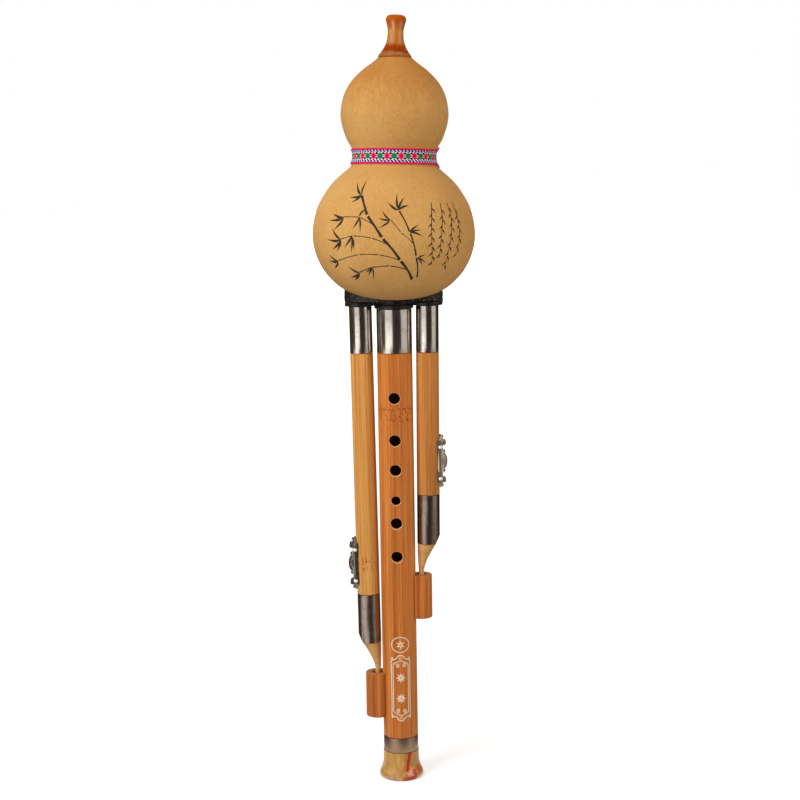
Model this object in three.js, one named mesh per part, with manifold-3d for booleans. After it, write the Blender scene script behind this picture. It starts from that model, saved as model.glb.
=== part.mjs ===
// Gourd flute with three pipes: a finger-hole pipe standing on its bell, a drone pipe on each side of it,
// and a hollow gourd above that holds the reeds and carries the mouthpiece.
// Millimetres. +Z runs up the finger-hole pipe from the middle of the bell's foot, and the finger holes
// face -Y. Every pipe end has the same build: a sleeve, a tenon, a seal and a reed tube with its reed.
import * as THREE from "three";
import { mergeVertices } from "three/addons/utils/BufferGeometryUtils.js";
import Module from "manifold-3d";

const wasm = await Module();
wasm.setup();

// Fits that every piece uses
const seatGap = 0.3; // between two pieces that touch, or that glue holds
const slideClearance = 0.3; // between a tenon and the collar that it slides in
const overrun = 2; // how far a cutter passes the face that it opens
const weldDistance = 0.001; // corners nearer than this are one corner

// Finger-hole pipe, from the bell's foot up to the collar under the gourd
const mainPipe = {
  radius: 10.1,
  bore: 6.6,
  bambooLength: 226.1,
  upperFerruleLength: 25.5,
  ferruleWall: 0.8,
  sleevedLength: 16.5, // bamboo hidden in the upper ferrule
  holeTurn: -3.7, // degrees that the row of holes is turned round the pipe
};
const fingerHoleRadius = 3.15;
const smallHoleRadius = 2.5;
const fingerHoles = [
  { heightShare: 0.889, radius: fingerHoleRadius },
  { heightShare: 0.781, radius: fingerHoleRadius },
  { heightShare: 0.705, radius: fingerHoleRadius },
  { heightShare: 0.627, radius: smallHoleRadius },
  { heightShare: 0.568, radius: fingerHoleRadius },
  { heightShare: 0.481, radius: fingerHoleRadius },
];
const thumbHoleShare = 0.954;

// Bell and the ring above it
const bell = {
  height: 16.2,
  neckRadius: 10.4,
  widestRadius: 13.1,
  mouthRadius: 9.6,
  spigotHeight: 3,
};
const bottomRing = { height: 9.2, wall: 0.8 };
const bellFlareShares = [
  [0, 0.48],
  [0.055, 0.89],
  [0.12, 1],
  [0.22, 0.81],
  [0.37, 0.37],
  [0.52, 0.11],
  [0.74, 0],
  [1, 0],
];
const bellMouthShares = [
  [0, 1],
  [0.13, 0.48],
  [0.32, 0.14],
  [0.55, 0],
];

// Drone pipes. Their axes lean towards the finger-hole pipe on the way down.
const dronePipe = {
  radius: 6.55,
  bore: 4.2,
  upperFerruleLength: 27.1,
  lowerFerruleLength: 29,
  ferruleWall: 0.8,
  sleevedLength: 18.5,
  lowerSleevedLength: 12,
  quillDrop: 18.6, // from the lower ferrule down to the stub
  quillInsert: 3.5, // how deep the quill's tip stands in the stub
  cutRise: 5, // height of the slanted cut on the lower ferrule
  cutDepth: 2.6,
};
const quillShares = [
  [0, -0.97, 0.72],
  [0.09, -0.97, 0.55],
  [0.24, -0.97, 0.29],
  [0.56, -0.94, -0.16],
  [0.81, -0.9, -0.39],
  [1, -0.87, -0.41],
];
const stub = {
  bore: 3,
  boreBreak: 0.2, // how far the bore breaks through the side that sits on the pipe
  boreDepth: 12,
  roundness: 0.6,
};
const leftDrone = {
  side: -1,
  stubRise: 11.6, // from the bamboo's foot up to the stub's foot
  rimOverlap: 0.8,
  axisBesideStub: 3.8,
  stubRadius: 6.85,
  stubLength: 26.3,
  keyRise: 18, // from the lower ferrule up to the middle of the key
};
const rightDrone = {
  side: 1,
  stubRise: 70.6,
  rimOverlap: 1,
  axisBesideStub: 4.6,
  stubRadius: 6.4,
  stubLength: 25.5,
  keyRise: 19.3,
};

// The pipe ends that stand inside the gourd
const mainEnd = {
  spigotLength: 12,
  flangeHeight: 8.4,
  tenonStep: 0.6,
  tenonLength: 20,
  tenonWall: 2.5,
  tenonBore: 4.8,
  socketDepth: 13,
  grooveHeight: 8,
  grooveWidth: 3,
  grooveDepth: 0.8,
  tubeLength: 48.7,
  tubeWall: 1.2,
  flatDepth: 0.6,
  flatRise: 4, // from the tenon's top up to the flat on the tube
  windowWidth: 3.2,
  windowMargin: 4, // from the flat's ends to the window
  plateWidth: 6.4,
  plateThickness: 0.5,
  plateMargin: 1, // from the flat's ends to the reed plate
  slit: 0.25,
  tongueBase: 2.4,
  tongueMargin: 1.5, // from the window's ends to the tongue
  capHeight: 2,
  capPlug: 4,
};
const droneEnd = {
  spigotLength: 10,
  flangeHeight: 7,
  tenonStep: 0.15,
  tenonLength: 20,
  tenonWall: 1.6,
  tenonBore: 2.8,
  socketDepth: 13,
  grooveHeight: 8,
  grooveWidth: 2.6,
  grooveDepth: 0.8,
  tubeLength: 33,
  tubeWall: 1,
  flatDepth: 0.5,
  flatRise: 0.8,
  windowWidth: 2.2,
  windowMargin: 3.2,
  plateWidth: 4.2,
  plateThickness: 0.4,
  plateMargin: 0.75,
  slit: 0.25,
  tongueBase: 1.7,
  tongueMargin: 1,
  capHeight: 1.6,
  capPlug: 3,
};

// Collars glued into the gourd's base, and the sealant between them
const mainCollar = { ledge: 1.1, neckLedge: 0.4, rimHeight: 2.4, wall: 1, length: 20 };
const droneCollar = { ledge: 2.25, neckLedge: 1.35, rimHeight: 2.4, wall: 1.3, length: 20, lift: 1.6 };
const sealant = { halfLength: 28.4, halfWidth: 13.2 };

// Gourd, with heights above its lowest point
const gourd = {
  baseRise: 4.5, // from the main collar's face to the gourd's lowest point
  pivotRise: 11, // from the main collar's face to where the gourd's axis crosses the pipe's
  lean: 1.3,
  lowerRadius: 46,
  lowerRise: 36.8,
  waistRadius: 22.9,
  waistRise: 81,
  upperRadius: 30.3,
  upperRise: 105.2,
  topRadius: 9.7,
  topRise: 135.2,
  wall: 4,
};
const basinShares = [
  [0, 0],
  [0.035, 0.33],
  [0.171, 0.62],
  [0.386, 0.817],
  [0.6, 0.925],
  [0.8, 0.98],
];
const shoulderShares = [
  [0, 1],
  [0.19, 0.964],
  [0.38, 0.856],
  [0.57, 0.642],
  [0.7, 0.44],
  [0.81, 0.213],
  [0.885, 0.085],
];
const neckShares = [
  [0, 0],
  [0.2, 0.25],
  [0.37, 0.51],
  [0.6, 0.79],
  [0.8, 0.95],
];
const crownShares = [
  [0, 1],
  [0.23, 0.948],
  [0.413, 0.852],
  [0.6, 0.675],
  [0.78, 0.41],
  [0.91, 0.155],
  [1, 0],
];
const ribbon = { width: 8.3, thickness: 0.6, slack: 0.3 };

// Mouthpiece, with heights above its skirt
const mouthpiece = {
  lean: 1.4,
  height: 22.9,
  skirtRadius: 9.45,
  waistRadius: 4.44,
  lipRadius: 5.67,
  tipRadius: 4.1,
  blowBore: 2.2,
  tenonRadius: 4.8,
  tenonLength: 8,
  tenonClearance: 0.5,
  seatLift: 0.5,
};
const skirtShares = [
  [0, 1],
  [0.045, 0.97],
  [0.07, 0.9],
  [0.118, 0.72],
  [0.166, 0.57],
  [0.262, 0.31],
  [0.402, 0.08],
  [0.546, 0],
];
const lipShares = [
  [0.69, 0.11],
  [0.786, 0.53],
  [0.878, 1],
  [0.926, 0.97],
];
const tipShares = [
  [0.974, 0.57],
  [1, 0],
];

// Drone key: a plate nailed to the pipe, and a domed slider that carries a pad over the tone hole
const key = {
  length: 31,
  tabThickness: 0.85, // where the nails go through
  deckThickness: 1.65, // where the slider runs
  halfWidth: 4.4,
  waistHalfWidth: 4.1,
  scrollRadius: 1.95,
  scrollWidth: 7.2,
  scrollSpacing: 22.1,
  scrollSink: 1.45,
  domeRadius: 4.6,
  domeHeight: 2.3,
  domeRim: 0.6,
  lobeRadius: 1.35,
  lobeHeight: 1.3,
  lobeOverlap: 0.3, // of the dome's edge and the lobe at each end of it
  travel: 1.8,
  padRadius: 2,
  toneHoleRadius: 1.3,
  toneHoleRise: 1.8,
  nailShankRadius: 0.45,
  nailHeadRadius: 1,
  nailDepth: 1.7,
};
const domeWidthShare = 0.92;

// Facets round a piece
const sides = { gourd: 40, mainPipe: 28, drone: 20, inner: 14, hole: 14, key: 16, small: 8 };
const outlineSteps = { gourd: 30, cavity: 10, ribbon: 4, mouthpiece: 15, quill: 6, bell: 8 };

// Places worked out from the sizes above
const seatHeight =
  bell.height + bottomRing.height + mainPipe.bambooLength + mainPipe.upperFerruleLength;
const bambooFoot = bell.height + bottomRing.height;
const bambooTop = bambooFoot + mainPipe.bambooLength;
const mainSleeveRadius = mainPipe.radius - mainPipe.ferruleWall - seatGap;
const droneSleeveRadius = dronePipe.radius - dronePipe.ferruleWall - seatGap;
const stubOffset = mainPipe.radius + seatGap + stub.bore - stub.boreBreak;
const nailRise = key.scrollSpacing / 2 + key.scrollRadius + seatGap + key.nailHeadRadius;

const radians = THREE.MathUtils.degToRad;

// Shape helpers

// A solid of revolution round Z from [radius, height] points that start and end on the axis.
function lathe(points, count) {
  const profile = points.map(([radius, height]) => new THREE.Vector2(radius, height));
  return new THREE.LatheGeometry(profile, count).rotateX(Math.PI / 2);
}

function rod(radius, low, high, count) {
  return lathe([[0, low], [radius, low], [radius, high], [0, high]], count);
}

function tube(inner, outer, low, high, count) {
  return lathe([[inner, low], [outer, low], [outer, high], [inner, high], [inner, low]], count);
}

function box(lowCorner, highCorner) {
  const low = new THREE.Vector3(...lowCorner);
  const high = new THREE.Vector3(...highCorner);
  const size = high.clone().sub(low);
  const middle = low.clone().add(high).multiplyScalar(0.5);
  return new THREE.BoxGeometry(size.x, size.y, size.z).translate(middle.x, middle.y, middle.z);
}

// A rod along X from one distance to another, at a height.
function sideRod(radius, from, to, height, count) {
  return rod(radius, from, to, count).rotateY(Math.PI / 2).translate(0, 0, height);
}

// A closed skin through circles {x, z, radius} that follow each other down.
function skin(circles, count) {
  const corners = [];
  const faces = [];
  circles.forEach(({ x, z, radius }) => {
    for (let step = 0; step < count; step += 1) {
      const angle = (2 * Math.PI * step) / count;
      corners.push(x + radius * Math.cos(angle), radius * Math.sin(angle), z);
    }
  });
  const first = circles[0];
  const last = circles[circles.length - 1];
  const topCentre = circles.length * count;
  const endCentre = topCentre + 1;
  corners.push(first.x, 0, first.z, last.x, 0, last.z);
  for (let step = 0; step < count; step += 1) {
    const next = (step + 1) % count;
    faces.push(topCentre, step, next);
    for (let ring = 0; ring < circles.length - 1; ring += 1) {
      const upper = ring * count;
      const lower = upper + count;
      faces.push(upper + step, lower + step, lower + next);
      faces.push(upper + step, lower + next, upper + next);
    }
    const base = (circles.length - 1) * count;
    faces.push(endCentre, base + next, base + step);
  }
  const geometry = new THREE.BufferGeometry();
  geometry.setAttribute("position", new THREE.Float32BufferAttribute(corners, 3));
  geometry.setIndex(faces);
  return geometry;
}

// Points on a smooth curve through [first, second] pairs.
function smooth(pairs, steps) {
  const curve = new THREE.SplineCurve(pairs.map(([a, b]) => new THREE.Vector2(a, b)));
  return curve.getPoints(steps).map((point) => [point.x, point.y]);
}

// [radius, height] points from [height share, radius share] pairs between two heights and two radii.
function stretch(shares, lowHeight, highHeight, zeroRadius, fullRadius) {
  return shares.map(([up, out]) => [
    THREE.MathUtils.lerp(zeroRadius, fullRadius, out),
    THREE.MathUtils.lerp(lowHeight, highHeight, up),
  ]);
}

// Solids for joining and cutting
function solid(geometry) {
  const bare = geometry.index ? geometry.toNonIndexed() : geometry.clone();
  bare.deleteAttribute("normal");
  bare.deleteAttribute("uv");
  const merged = mergeVertices(bare, weldDistance);
  return new wasm.Manifold(
    new wasm.Mesh({
      numProp: 3,
      vertProperties: merged.getAttribute("position").array,
      triVerts: new Uint32Array(merged.index.array),
    }),
  );
}

function geometryOf(made) {
  const mesh = made.getMesh();
  const geometry = new THREE.BufferGeometry();
  geometry.setAttribute("position", new THREE.Float32BufferAttribute(mesh.vertProperties, 3));
  geometry.setIndex(new THREE.BufferAttribute(mesh.triVerts, 1));
  const faceted = geometry.toNonIndexed();
  faceted.computeVertexNormals();
  return faceted;
}

function cut(geometry, cutters) {
  const made = cutters.reduce((rest, cutter) => rest.subtract(solid(cutter)), solid(geometry));
  return geometryOf(made);
}

function join(geometries) {
  const [first, ...rest] = geometries.map(solid);
  return geometryOf(rest.reduce((sum, next) => sum.add(next), first));
}

function common(first, second) {
  return geometryOf(solid(first).intersect(solid(second)));
}

// Finishes
function finish(color, roughness, metalness) {
  return new THREE.MeshStandardMaterial({ color, roughness, metalness });
}
const finishes = {
  gourdSkin: () => finish(0xd09e5a, 0.55, 0),
  amberResin: () => finish(0xbe743a, 0.25, 0),
  darkBamboo: () => finish(0xc07234, 0.45, 0),
  paleBamboo: () => finish(0xcf914d, 0.45, 0),
  brownBamboo: () => finish(0xbe793d, 0.45, 0),
  stubBamboo: () => finish(0xac5e2a, 0.45, 0),
  cutBamboo: () => finish(0xb88453, 0.7, 0),
  steel: () => finish(0xb4aca5, 0.25, 1),
  darkSteel: () => finish(0x645448, 0.4, 1),
  brushedRing: () => finish(0x886d57, 0.45, 1),
  hornResin: () => finish(0xb58a4d, 0.3, 0),
  blackResin: () => finish(0x241f1c, 0.3, 0),
  blackSealant: () => finish(0x1c1918, 0.2, 0),
  wovenRibbon: () => finish(0xd8a0b8, 0.9, 0),
  nickel: () => finish(0xc8c4bc, 0.2, 1),
  brass: () => finish(0xb8924a, 0.3, 1),
  cork: () => finish(0xb08858, 0.9, 0),
  leather: () => finish(0x6b4a34, 0.8, 0),
};

function named(name, geometry, material) {
  const mesh = new THREE.Mesh(geometry, material);
  mesh.name = name;
  return mesh;
}

// Frames of the leaning groups
function droneFrame(drone) {
  const top = droneSeat(drone);
  const low = new THREE.Vector3(drone.side * (stubOffset + drone.axisBesideStub), 0, stubTop(drone));
  const lean = Math.atan2(top.x - low.x, top.z - low.z);
  const turn = drone.side < 0 ? Math.PI : 0;
  return new THREE.Matrix4()
    .makeTranslation(top)
    .multiply(new THREE.Matrix4().makeRotationY(lean))
    .multiply(new THREE.Matrix4().makeRotationZ(turn));
}

function droneSeat(drone) {
  const rims = mainRimRadius() + droneRimRadius() - drone.rimOverlap;
  return new THREE.Vector3(drone.side * rims, 0, seatHeight + droneCollar.lift);
}

function mainRimRadius() {
  return mainPipe.radius + mainCollar.ledge;
}

function droneRimRadius() {
  return dronePipe.radius + droneCollar.ledge;
}

function stubTop(drone) {
  return bambooFoot + drone.stubRise + drone.stubLength;
}

function lowerFerruleFoot(drone) {
  return stubTop(drone) + dronePipe.quillDrop - seatHeight - droneCollar.lift;
}

function lowerFerruleTop(drone) {
  return lowerFerruleFoot(drone) + dronePipe.lowerFerruleLength;
}

const gourdFrame = new THREE.Matrix4()
  .makeTranslation(0, 0, seatHeight + gourd.pivotRise)
  .multiply(new THREE.Matrix4().makeRotationY(radians(gourd.lean)));

// The finger-hole pipe's own pieces
function mainTubeGeometry() {
  const foot = bell.height + bell.spigotHeight + seatGap;
  const top = bambooTop + mainPipe.sleevedLength;
  const blank = lathe(
    [
      [mainPipe.bore, foot],
      [mainSleeveRadius, foot],
      [mainSleeveRadius, bambooFoot],
      [mainPipe.radius, bambooFoot],
      [mainPipe.radius, bambooTop],
      [mainSleeveRadius, bambooTop],
      [mainSleeveRadius, top],
      [mainPipe.bore, top],
      [mainPipe.bore, foot],
    ],
    sides.mainPipe,
  );
  const reach = mainPipe.radius + overrun;
  const drill = (radius, heightShare, behind) =>
    rod(radius, 0, reach, sides.hole)
      .rotateX(behind ? -Math.PI / 2 : Math.PI / 2)
      .rotateZ(radians(mainPipe.holeTurn))
      .translate(0, 0, bambooFoot + heightShare * mainPipe.bambooLength);
  const front = fingerHoles.map((hole) => drill(hole.radius, hole.heightShare, false));
  return cut(blank, [...front, drill(fingerHoleRadius, thumbHoleShare, true)]);
}

function bellGeometry() {
  const flare = stretch(bellFlareShares, 0, bell.height, bell.neckRadius, bell.widestRadius);
  const mouth = stretch(bellMouthShares, 0, bell.height, mainPipe.bore, bell.mouthRadius);
  const spigotTop = bell.height + bell.spigotHeight;
  return lathe(
    [
      ...smooth(flare, outlineSteps.bell),
      [mainSleeveRadius, bell.height],
      [mainSleeveRadius, spigotTop],
      [mainPipe.bore, spigotTop],
      ...smooth(mouth.reverse(), outlineSteps.bell / 2),
      [flare[0][0], 0],
    ],
    sides.mainPipe,
  );
}

function stubMesh(name, drone) {
  const top = stubTop(drone);
  const low = top - drone.stubLength;
  const round = stub.roundness;
  const blank = lathe(
    [
      [0, low],
      [drone.stubRadius - round, low],
      [drone.stubRadius, low + round],
      [drone.stubRadius, top - round],
      [drone.stubRadius - round, top],
      [stub.bore, top],
      [stub.bore, top - stub.boreDepth],
      [0, top - stub.boreDepth],
    ],
    sides.drone,
  ).translate(drone.side * stubOffset, 0, 0);
  const saddle = rod(mainPipe.radius + seatGap, low - overrun, top + overrun, sides.mainPipe);
  return named(name, cut(blank, [saddle]), finishes.stubBamboo());
}

// The end of a pipe inside the gourd. Heights are above the collar's face that the pipe meets.
function tenonGeometry(end, sleeveRadius, pipeBore) {
  const tenonRadius = sleeveRadius - end.tenonStep;
  const flangeFoot = -seatGap - end.flangeHeight;
  const spigotFoot = flangeFoot - end.spigotLength;
  const spigotRadius = pipeBore - seatGap;
  const socketRadius = tenonRadius - end.tenonWall;
  const socketFloor = end.tenonLength - end.socketDepth;
  const grooveRadius = tenonRadius - end.grooveDepth;
  const grooveTop = end.grooveHeight + end.grooveWidth;
  return lathe(
    [
      [end.tenonBore, spigotFoot],
      [spigotRadius, spigotFoot],
      [spigotRadius, flangeFoot],
      [sleeveRadius, flangeFoot],
      [sleeveRadius, -seatGap],
      [tenonRadius, -seatGap],
      [tenonRadius, end.grooveHeight],
      [grooveRadius, end.grooveHeight],
      [grooveRadius, grooveTop],
      [tenonRadius, grooveTop],
      [tenonRadius, end.tenonLength],
      [socketRadius, end.tenonLength],
      [socketRadius, socketFloor],
      [end.tenonBore, socketFloor],
      [end.tenonBore, spigotFoot],
    ],
    sides.inner,
  );
}

function sealGeometry(end, sleeveRadius) {
  const tenonRadius = sleeveRadius - end.tenonStep;
  const inner = tenonRadius - end.grooveDepth + seatGap;
  const low = end.grooveHeight + seatGap;
  const high = end.grooveHeight + end.grooveWidth - seatGap;
  return tube(inner, tenonRadius, low, high, sides.inner);
}

function reedTubeRadius(end, sleeveRadius) {
  return sleeveRadius - end.tenonStep - end.tenonWall - seatGap;
}

// Heights of the reed tube and of the flat on its front that carries the reed.
function reedTubeLayout(end) {
  const low = end.tenonLength - end.socketDepth + seatGap;
  const high = low + end.tubeLength;
  const flatLow = end.tenonLength + end.flatRise;
  const flatHigh = high - end.capHeight;
  return { low, high, flatLow, flatHigh };
}

function reedTubeGeometry(end, sleeveRadius) {
  const radius = reedTubeRadius(end, sleeveRadius);
  const { low, high, flatLow, flatHigh } = reedTubeLayout(end);
  const flat = box(
    [-radius - overrun, -radius - overrun, flatLow],
    [radius + overrun, -radius + end.flatDepth, flatHigh],
  );
  const window = box(
    [-end.windowWidth / 2, -radius - overrun, flatLow + end.windowMargin],
    [end.windowWidth / 2, 0, flatHigh - end.windowMargin],
  );
  const wall = tube(radius - end.tubeWall, radius, low, high, sides.inner);
  return cut(wall, [flat, window]);
}

// A plate with a pointed tongue cut free on two sides and left joined at its root.
function reedPlateGeometry(end, sleeveRadius) {
  const { flatLow, flatHigh } = reedTubeLayout(end);
  const back = -reedTubeRadius(end, sleeveRadius) + end.flatDepth - seatGap;
  const plate = box(
    [-end.plateWidth / 2, back - end.plateThickness, flatLow + end.plateMargin],
    [end.plateWidth / 2, back, flatHigh - end.plateMargin],
  );
  const root = flatLow + end.windowMargin + end.tongueMargin;
  const tip = flatHigh - end.windowMargin - end.tongueMargin;
  const half = end.tongueBase / 2;
  const outline = new THREE.Shape();
  outline.moveTo(-half - end.slit, root);
  outline.lineTo(-half, root);
  outline.lineTo(0, tip - end.slit);
  outline.lineTo(half, root);
  outline.lineTo(half + end.slit, root);
  outline.lineTo(0, tip + end.slit);
  const depth = end.plateThickness + 2 * overrun;
  const slit = new THREE.ExtrudeGeometry(outline, { depth, bevelEnabled: false, steps: 1 })
    .rotateX(Math.PI / 2)
    .translate(0, back + overrun, 0);
  return cut(plate, [slit]);
}

function reedCapGeometry(end, sleeveRadius) {
  const radius = reedTubeRadius(end, sleeveRadius);
  const plugRadius = radius - end.tubeWall - seatGap;
  const { high: tubeTop } = reedTubeLayout(end);
  const rim = tubeTop + seatGap;
  return lathe(
    [
      [0, tubeTop - end.capPlug],
      [plugRadius, tubeTop - end.capPlug],
      [plugRadius, rim],
      [radius, rim],
      [radius, rim + end.capHeight],
      [0, rim + end.capHeight],
    ],
    sides.inner,
  );
}

function pipeEndMeshes(prefix, end, sleeveRadius, pipeBore) {
  return [
    named(prefix + "_tenon", tenonGeometry(end, sleeveRadius, pipeBore), finishes.blackResin()),
    named(prefix + "_tenon_seal", sealGeometry(end, sleeveRadius), finishes.cork()),
    named(prefix + "_reed_tube", reedTubeGeometry(end, sleeveRadius), finishes.cutBamboo()),
    named(prefix + "_reed", reedPlateGeometry(end, sleeveRadius), finishes.brass()),
    named(prefix + "_reed_tube_cap", reedCapGeometry(end, sleeveRadius), finishes.cork()),
  ];
}

// Drone pieces. Heights are along the drone's axis from its collar's face, and +X points outwards.
function keyMiddle(drone) {
  return lowerFerruleTop(drone) + drone.keyRise;
}

function droneTubeGeometry(drone) {
  const top = -dronePipe.upperFerruleLength;
  const low = lowerFerruleTop(drone);
  const sleevedTop = top + dronePipe.sleevedLength;
  const sleevedLow = low - dronePipe.lowerSleevedLength;
  const blank = lathe(
    [
      [dronePipe.bore, sleevedLow],
      [droneSleeveRadius, sleevedLow],
      [droneSleeveRadius, low],
      [dronePipe.radius, low],
      [dronePipe.radius, top],
      [droneSleeveRadius, top],
      [droneSleeveRadius, sleevedTop],
      [dronePipe.bore, sleevedTop],
      [dronePipe.bore, sleevedLow],
    ],
    sides.drone,
  );
  const reach = dronePipe.radius + overrun;
  const middle = keyMiddle(drone);
  const toneHole = sideRod(key.toneHoleRadius, 0, reach, middle + key.toneHoleRise, sides.small);
  const nailHoles = [-1, 1].map((end) =>
    sideRod(
      key.nailShankRadius + seatGap,
      0,
      reach,
      middle + end * nailRise,
      sides.small,
    ),
  );
  return cut(blank, [toneHole, ...nailHoles]);
}

function droneUpperFerruleGeometry() {
  return tube(
    dronePipe.radius - dronePipe.ferruleWall,
    dronePipe.radius,
    -dronePipe.upperFerruleLength + seatGap,
    -seatGap,
    sides.drone,
  );
}

// The slanted corner that is cut off the lower ferrule and the quill on the outer side.
function slantCutter(drone) {
  const foot = lowerFerruleFoot(drone);
  const outline = new THREE.Shape();
  const depth = dronePipe.cutDepth + overrun;
  const rise = (dronePipe.cutRise * depth) / dronePipe.cutDepth;
  const inner = dronePipe.radius - dronePipe.cutDepth;
  outline.moveTo(inner, foot);
  outline.lineTo(inner + depth, foot + rise);
  outline.lineTo(inner + depth, foot - overrun);
  outline.lineTo(inner, foot - overrun);
  const width = 2 * (dronePipe.radius + overrun);
  return new THREE.ExtrudeGeometry(outline, { depth: width, bevelEnabled: false, steps: 1 })
    .rotateX(Math.PI / 2)
    .translate(0, width / 2, 0);
}

function droneLowerFerruleGeometry(drone) {
  const foot = lowerFerruleFoot(drone);
  const top = lowerFerruleTop(drone) - seatGap;
  const inner = dronePipe.radius - dronePipe.ferruleWall;
  return cut(tube(inner, dronePipe.radius, foot, top, sides.drone), [slantCutter(drone)]);
}

// A bamboo plug in the lower ferrule that tapers down one side to a thin tip.
function quillGeometry(drone) {
  const foot = lowerFerruleFoot(drone);
  const plugTop = lowerFerruleTop(drone) - dronePipe.lowerSleevedLength - seatGap;
  const radius = dronePipe.radius;
  const inner = smooth(quillShares.map(([down, low]) => [down, low]), outlineSteps.quill);
  const outer = smooth(quillShares.map(([down, low, high]) => [down, high]), outlineSteps.quill);
  const top = foot - seatGap;
  const taper = inner.map(([down, low], index) => ({
    x: ((low + outer[index][1]) * radius) / 2,
    z: top - down * (dronePipe.quillDrop - seatGap),
    radius: ((outer[index][1] - low) * radius) / 2,
  }));
  const tip = taper[taper.length - 1];
  const circles = [
    { x: 0, z: plugTop, radius: droneSleeveRadius },
    { x: 0, z: foot, radius: droneSleeveRadius },
    ...taper,
    { ...tip, z: tip.z - dronePipe.quillInsert },
  ];
  return cut(skin(circles, sides.drone), [slantCutter(drone)]);
}

// The plate's outline seen from outside: a slight waist in the middle and rounded ends.
function keyPlateOutline(middle) {
  const half = key.length / 2;
  const shoulder = key.scrollSpacing / 2;
  const outline = new THREE.Shape();
  outline.moveTo(0, middle - half);
  outline.quadraticCurveTo(-key.halfWidth, middle - half, -key.halfWidth, middle - shoulder);
  outline.quadraticCurveTo(-key.waistHalfWidth, middle, -key.halfWidth, middle + shoulder);
  outline.quadraticCurveTo(-key.halfWidth, middle + half, 0, middle + half);
  outline.quadraticCurveTo(key.halfWidth, middle + half, key.halfWidth, middle + shoulder);
  outline.quadraticCurveTo(key.waistHalfWidth, middle, key.halfWidth, middle - shoulder);
  outline.quadraticCurveTo(key.halfWidth, middle - half, 0, middle - half);
  return outline;
}

function keyPlateGeometry(drone) {
  const middle = keyMiddle(drone);
  const inner = dronePipe.radius + seatGap;
  const outer = inner + key.deckThickness;
  const slab = (height) =>
    new THREE.ExtrudeGeometry(keyPlateOutline(middle), {
      depth: height,
      bevelEnabled: false,
      curveSegments: 6,
    })
      .rotateX(Math.PI / 2)
      .rotateZ(Math.PI / 2);
  const deckHalf = key.scrollSpacing / 2 + key.scrollRadius;
  const deckRoom = box(
    [0, -key.halfWidth - overrun, middle - deckHalf],
    [outer + overrun, key.halfWidth + overrun, middle + deckHalf],
  );
  const scroll = (end) =>
    rod(key.scrollRadius, -key.scrollWidth / 2, key.scrollWidth / 2, sides.small)
      .rotateX(Math.PI / 2)
      .translate(
        outer + key.scrollRadius - key.scrollSink,
        0,
        middle + (end * key.scrollSpacing) / 2,
      );
  const deck = common(slab(outer), deckRoom);
  const body = join([slab(inner + key.tabThickness), deck, scroll(-1), scroll(1)]);
  const slotHalf = key.padRadius + key.travel + seatGap;
  const slot = box(
    [0, -key.padRadius - seatGap, middle - slotHalf],
    [outer + overrun, key.padRadius + seatGap, middle + slotHalf],
  );
  const nailHoles = [-1, 1].map((end) =>
    sideRod(
      key.nailShankRadius + seatGap,
      0,
      outer + overrun,
      middle + end * nailRise,
      sides.small,
    ),
  );
  const pipeClearance = rod(inner, middle - key.length, middle + key.length, sides.drone);
  return cut(body, [slot, pipeClearance, ...nailHoles]);
}

function nailGeometry(drone, end) {
  const middle = keyMiddle(drone);
  const seat = dronePipe.radius + 2 * seatGap + key.tabThickness;
  const point = dronePipe.radius - key.nailDepth;
  const head = key.nailHeadRadius;
  const dome = [0, 1, 2, 3].map((step) => {
    const angle = (step * Math.PI) / 6;
    return [head * Math.cos(angle), seat + head * Math.sin(angle)];
  });
  return lathe(
    [[0, point], [key.nailShankRadius, point], [key.nailShankRadius, seat], ...dome],
    sides.small,
  )
    .rotateY(Math.PI / 2)
    .translate(0, 0, middle + end * nailRise);
}

function keySliderGeometry(drone) {
  const seat = dronePipe.radius + 2 * seatGap + key.deckThickness;
  const dome = (radius, height, count) => {
    const steps = 6;
    const crown = Array.from({ length: steps + 1 }, (unused, step) => {
      const angle = (step * Math.PI) / (2 * steps);
      return [radius * Math.cos(angle), seat + key.domeRim + (height - key.domeRim) * Math.sin(angle)];
    });
    return lathe([[0, seat], [radius, seat], ...crown], count)
      .rotateY(Math.PI / 2)
      .scale(1, domeWidthShare, 1);
  };
  const lobeRise = key.domeRadius + key.lobeRadius - key.lobeOverlap;
  const lobes = [-1, 1].map((end) =>
    dome(key.lobeRadius, key.lobeHeight, sides.small).translate(0, 0, end * lobeRise),
  );
  const whole = join([dome(key.domeRadius, key.domeHeight, sides.key), ...lobes]);
  return whole.translate(0, 0, keyMiddle(drone));
}

function keyPadGeometry(drone) {
  const face = dronePipe.radius + seatGap;
  return sideRod(key.padRadius, face, face + key.deckThickness, keyMiddle(drone), sides.small);
}

// Collars, and the gourd that they are glued into
function gourdOutline() {
  const base = gourd.baseRise - gourd.pivotRise;
  const lower = base + gourd.lowerRise;
  const waist = base + gourd.waistRise;
  const upper = base + gourd.upperRise;
  const top = base + gourd.topRise;
  return new THREE.SplineCurve(
    [
      ...stretch(basinShares, base, lower, 0, gourd.lowerRadius),
      ...stretch(shoulderShares, lower, waist, gourd.waistRadius, gourd.lowerRadius),
      ...stretch(neckShares, waist, upper, gourd.waistRadius, gourd.upperRadius),
      ...stretch(crownShares, upper, top, gourd.topRadius, gourd.upperRadius),
    ].map(([radius, height]) => new THREE.Vector2(radius, height)),
  );
}

// [radius, height] points that stand off the gourd's outline by a distance, outwards when it is positive.
function gourdOffset(distance, steps) {
  const curve = gourdOutline();
  return Array.from({ length: steps + 1 }, (unused, step) => {
    const share = step / steps;
    const point = curve.getPoint(share);
    const along = step === 0 ? new THREE.Vector2(1, 0) : curve.getTangent(share);
    return [point.x + along.y * distance, point.y - along.x * distance];
  });
}

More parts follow.
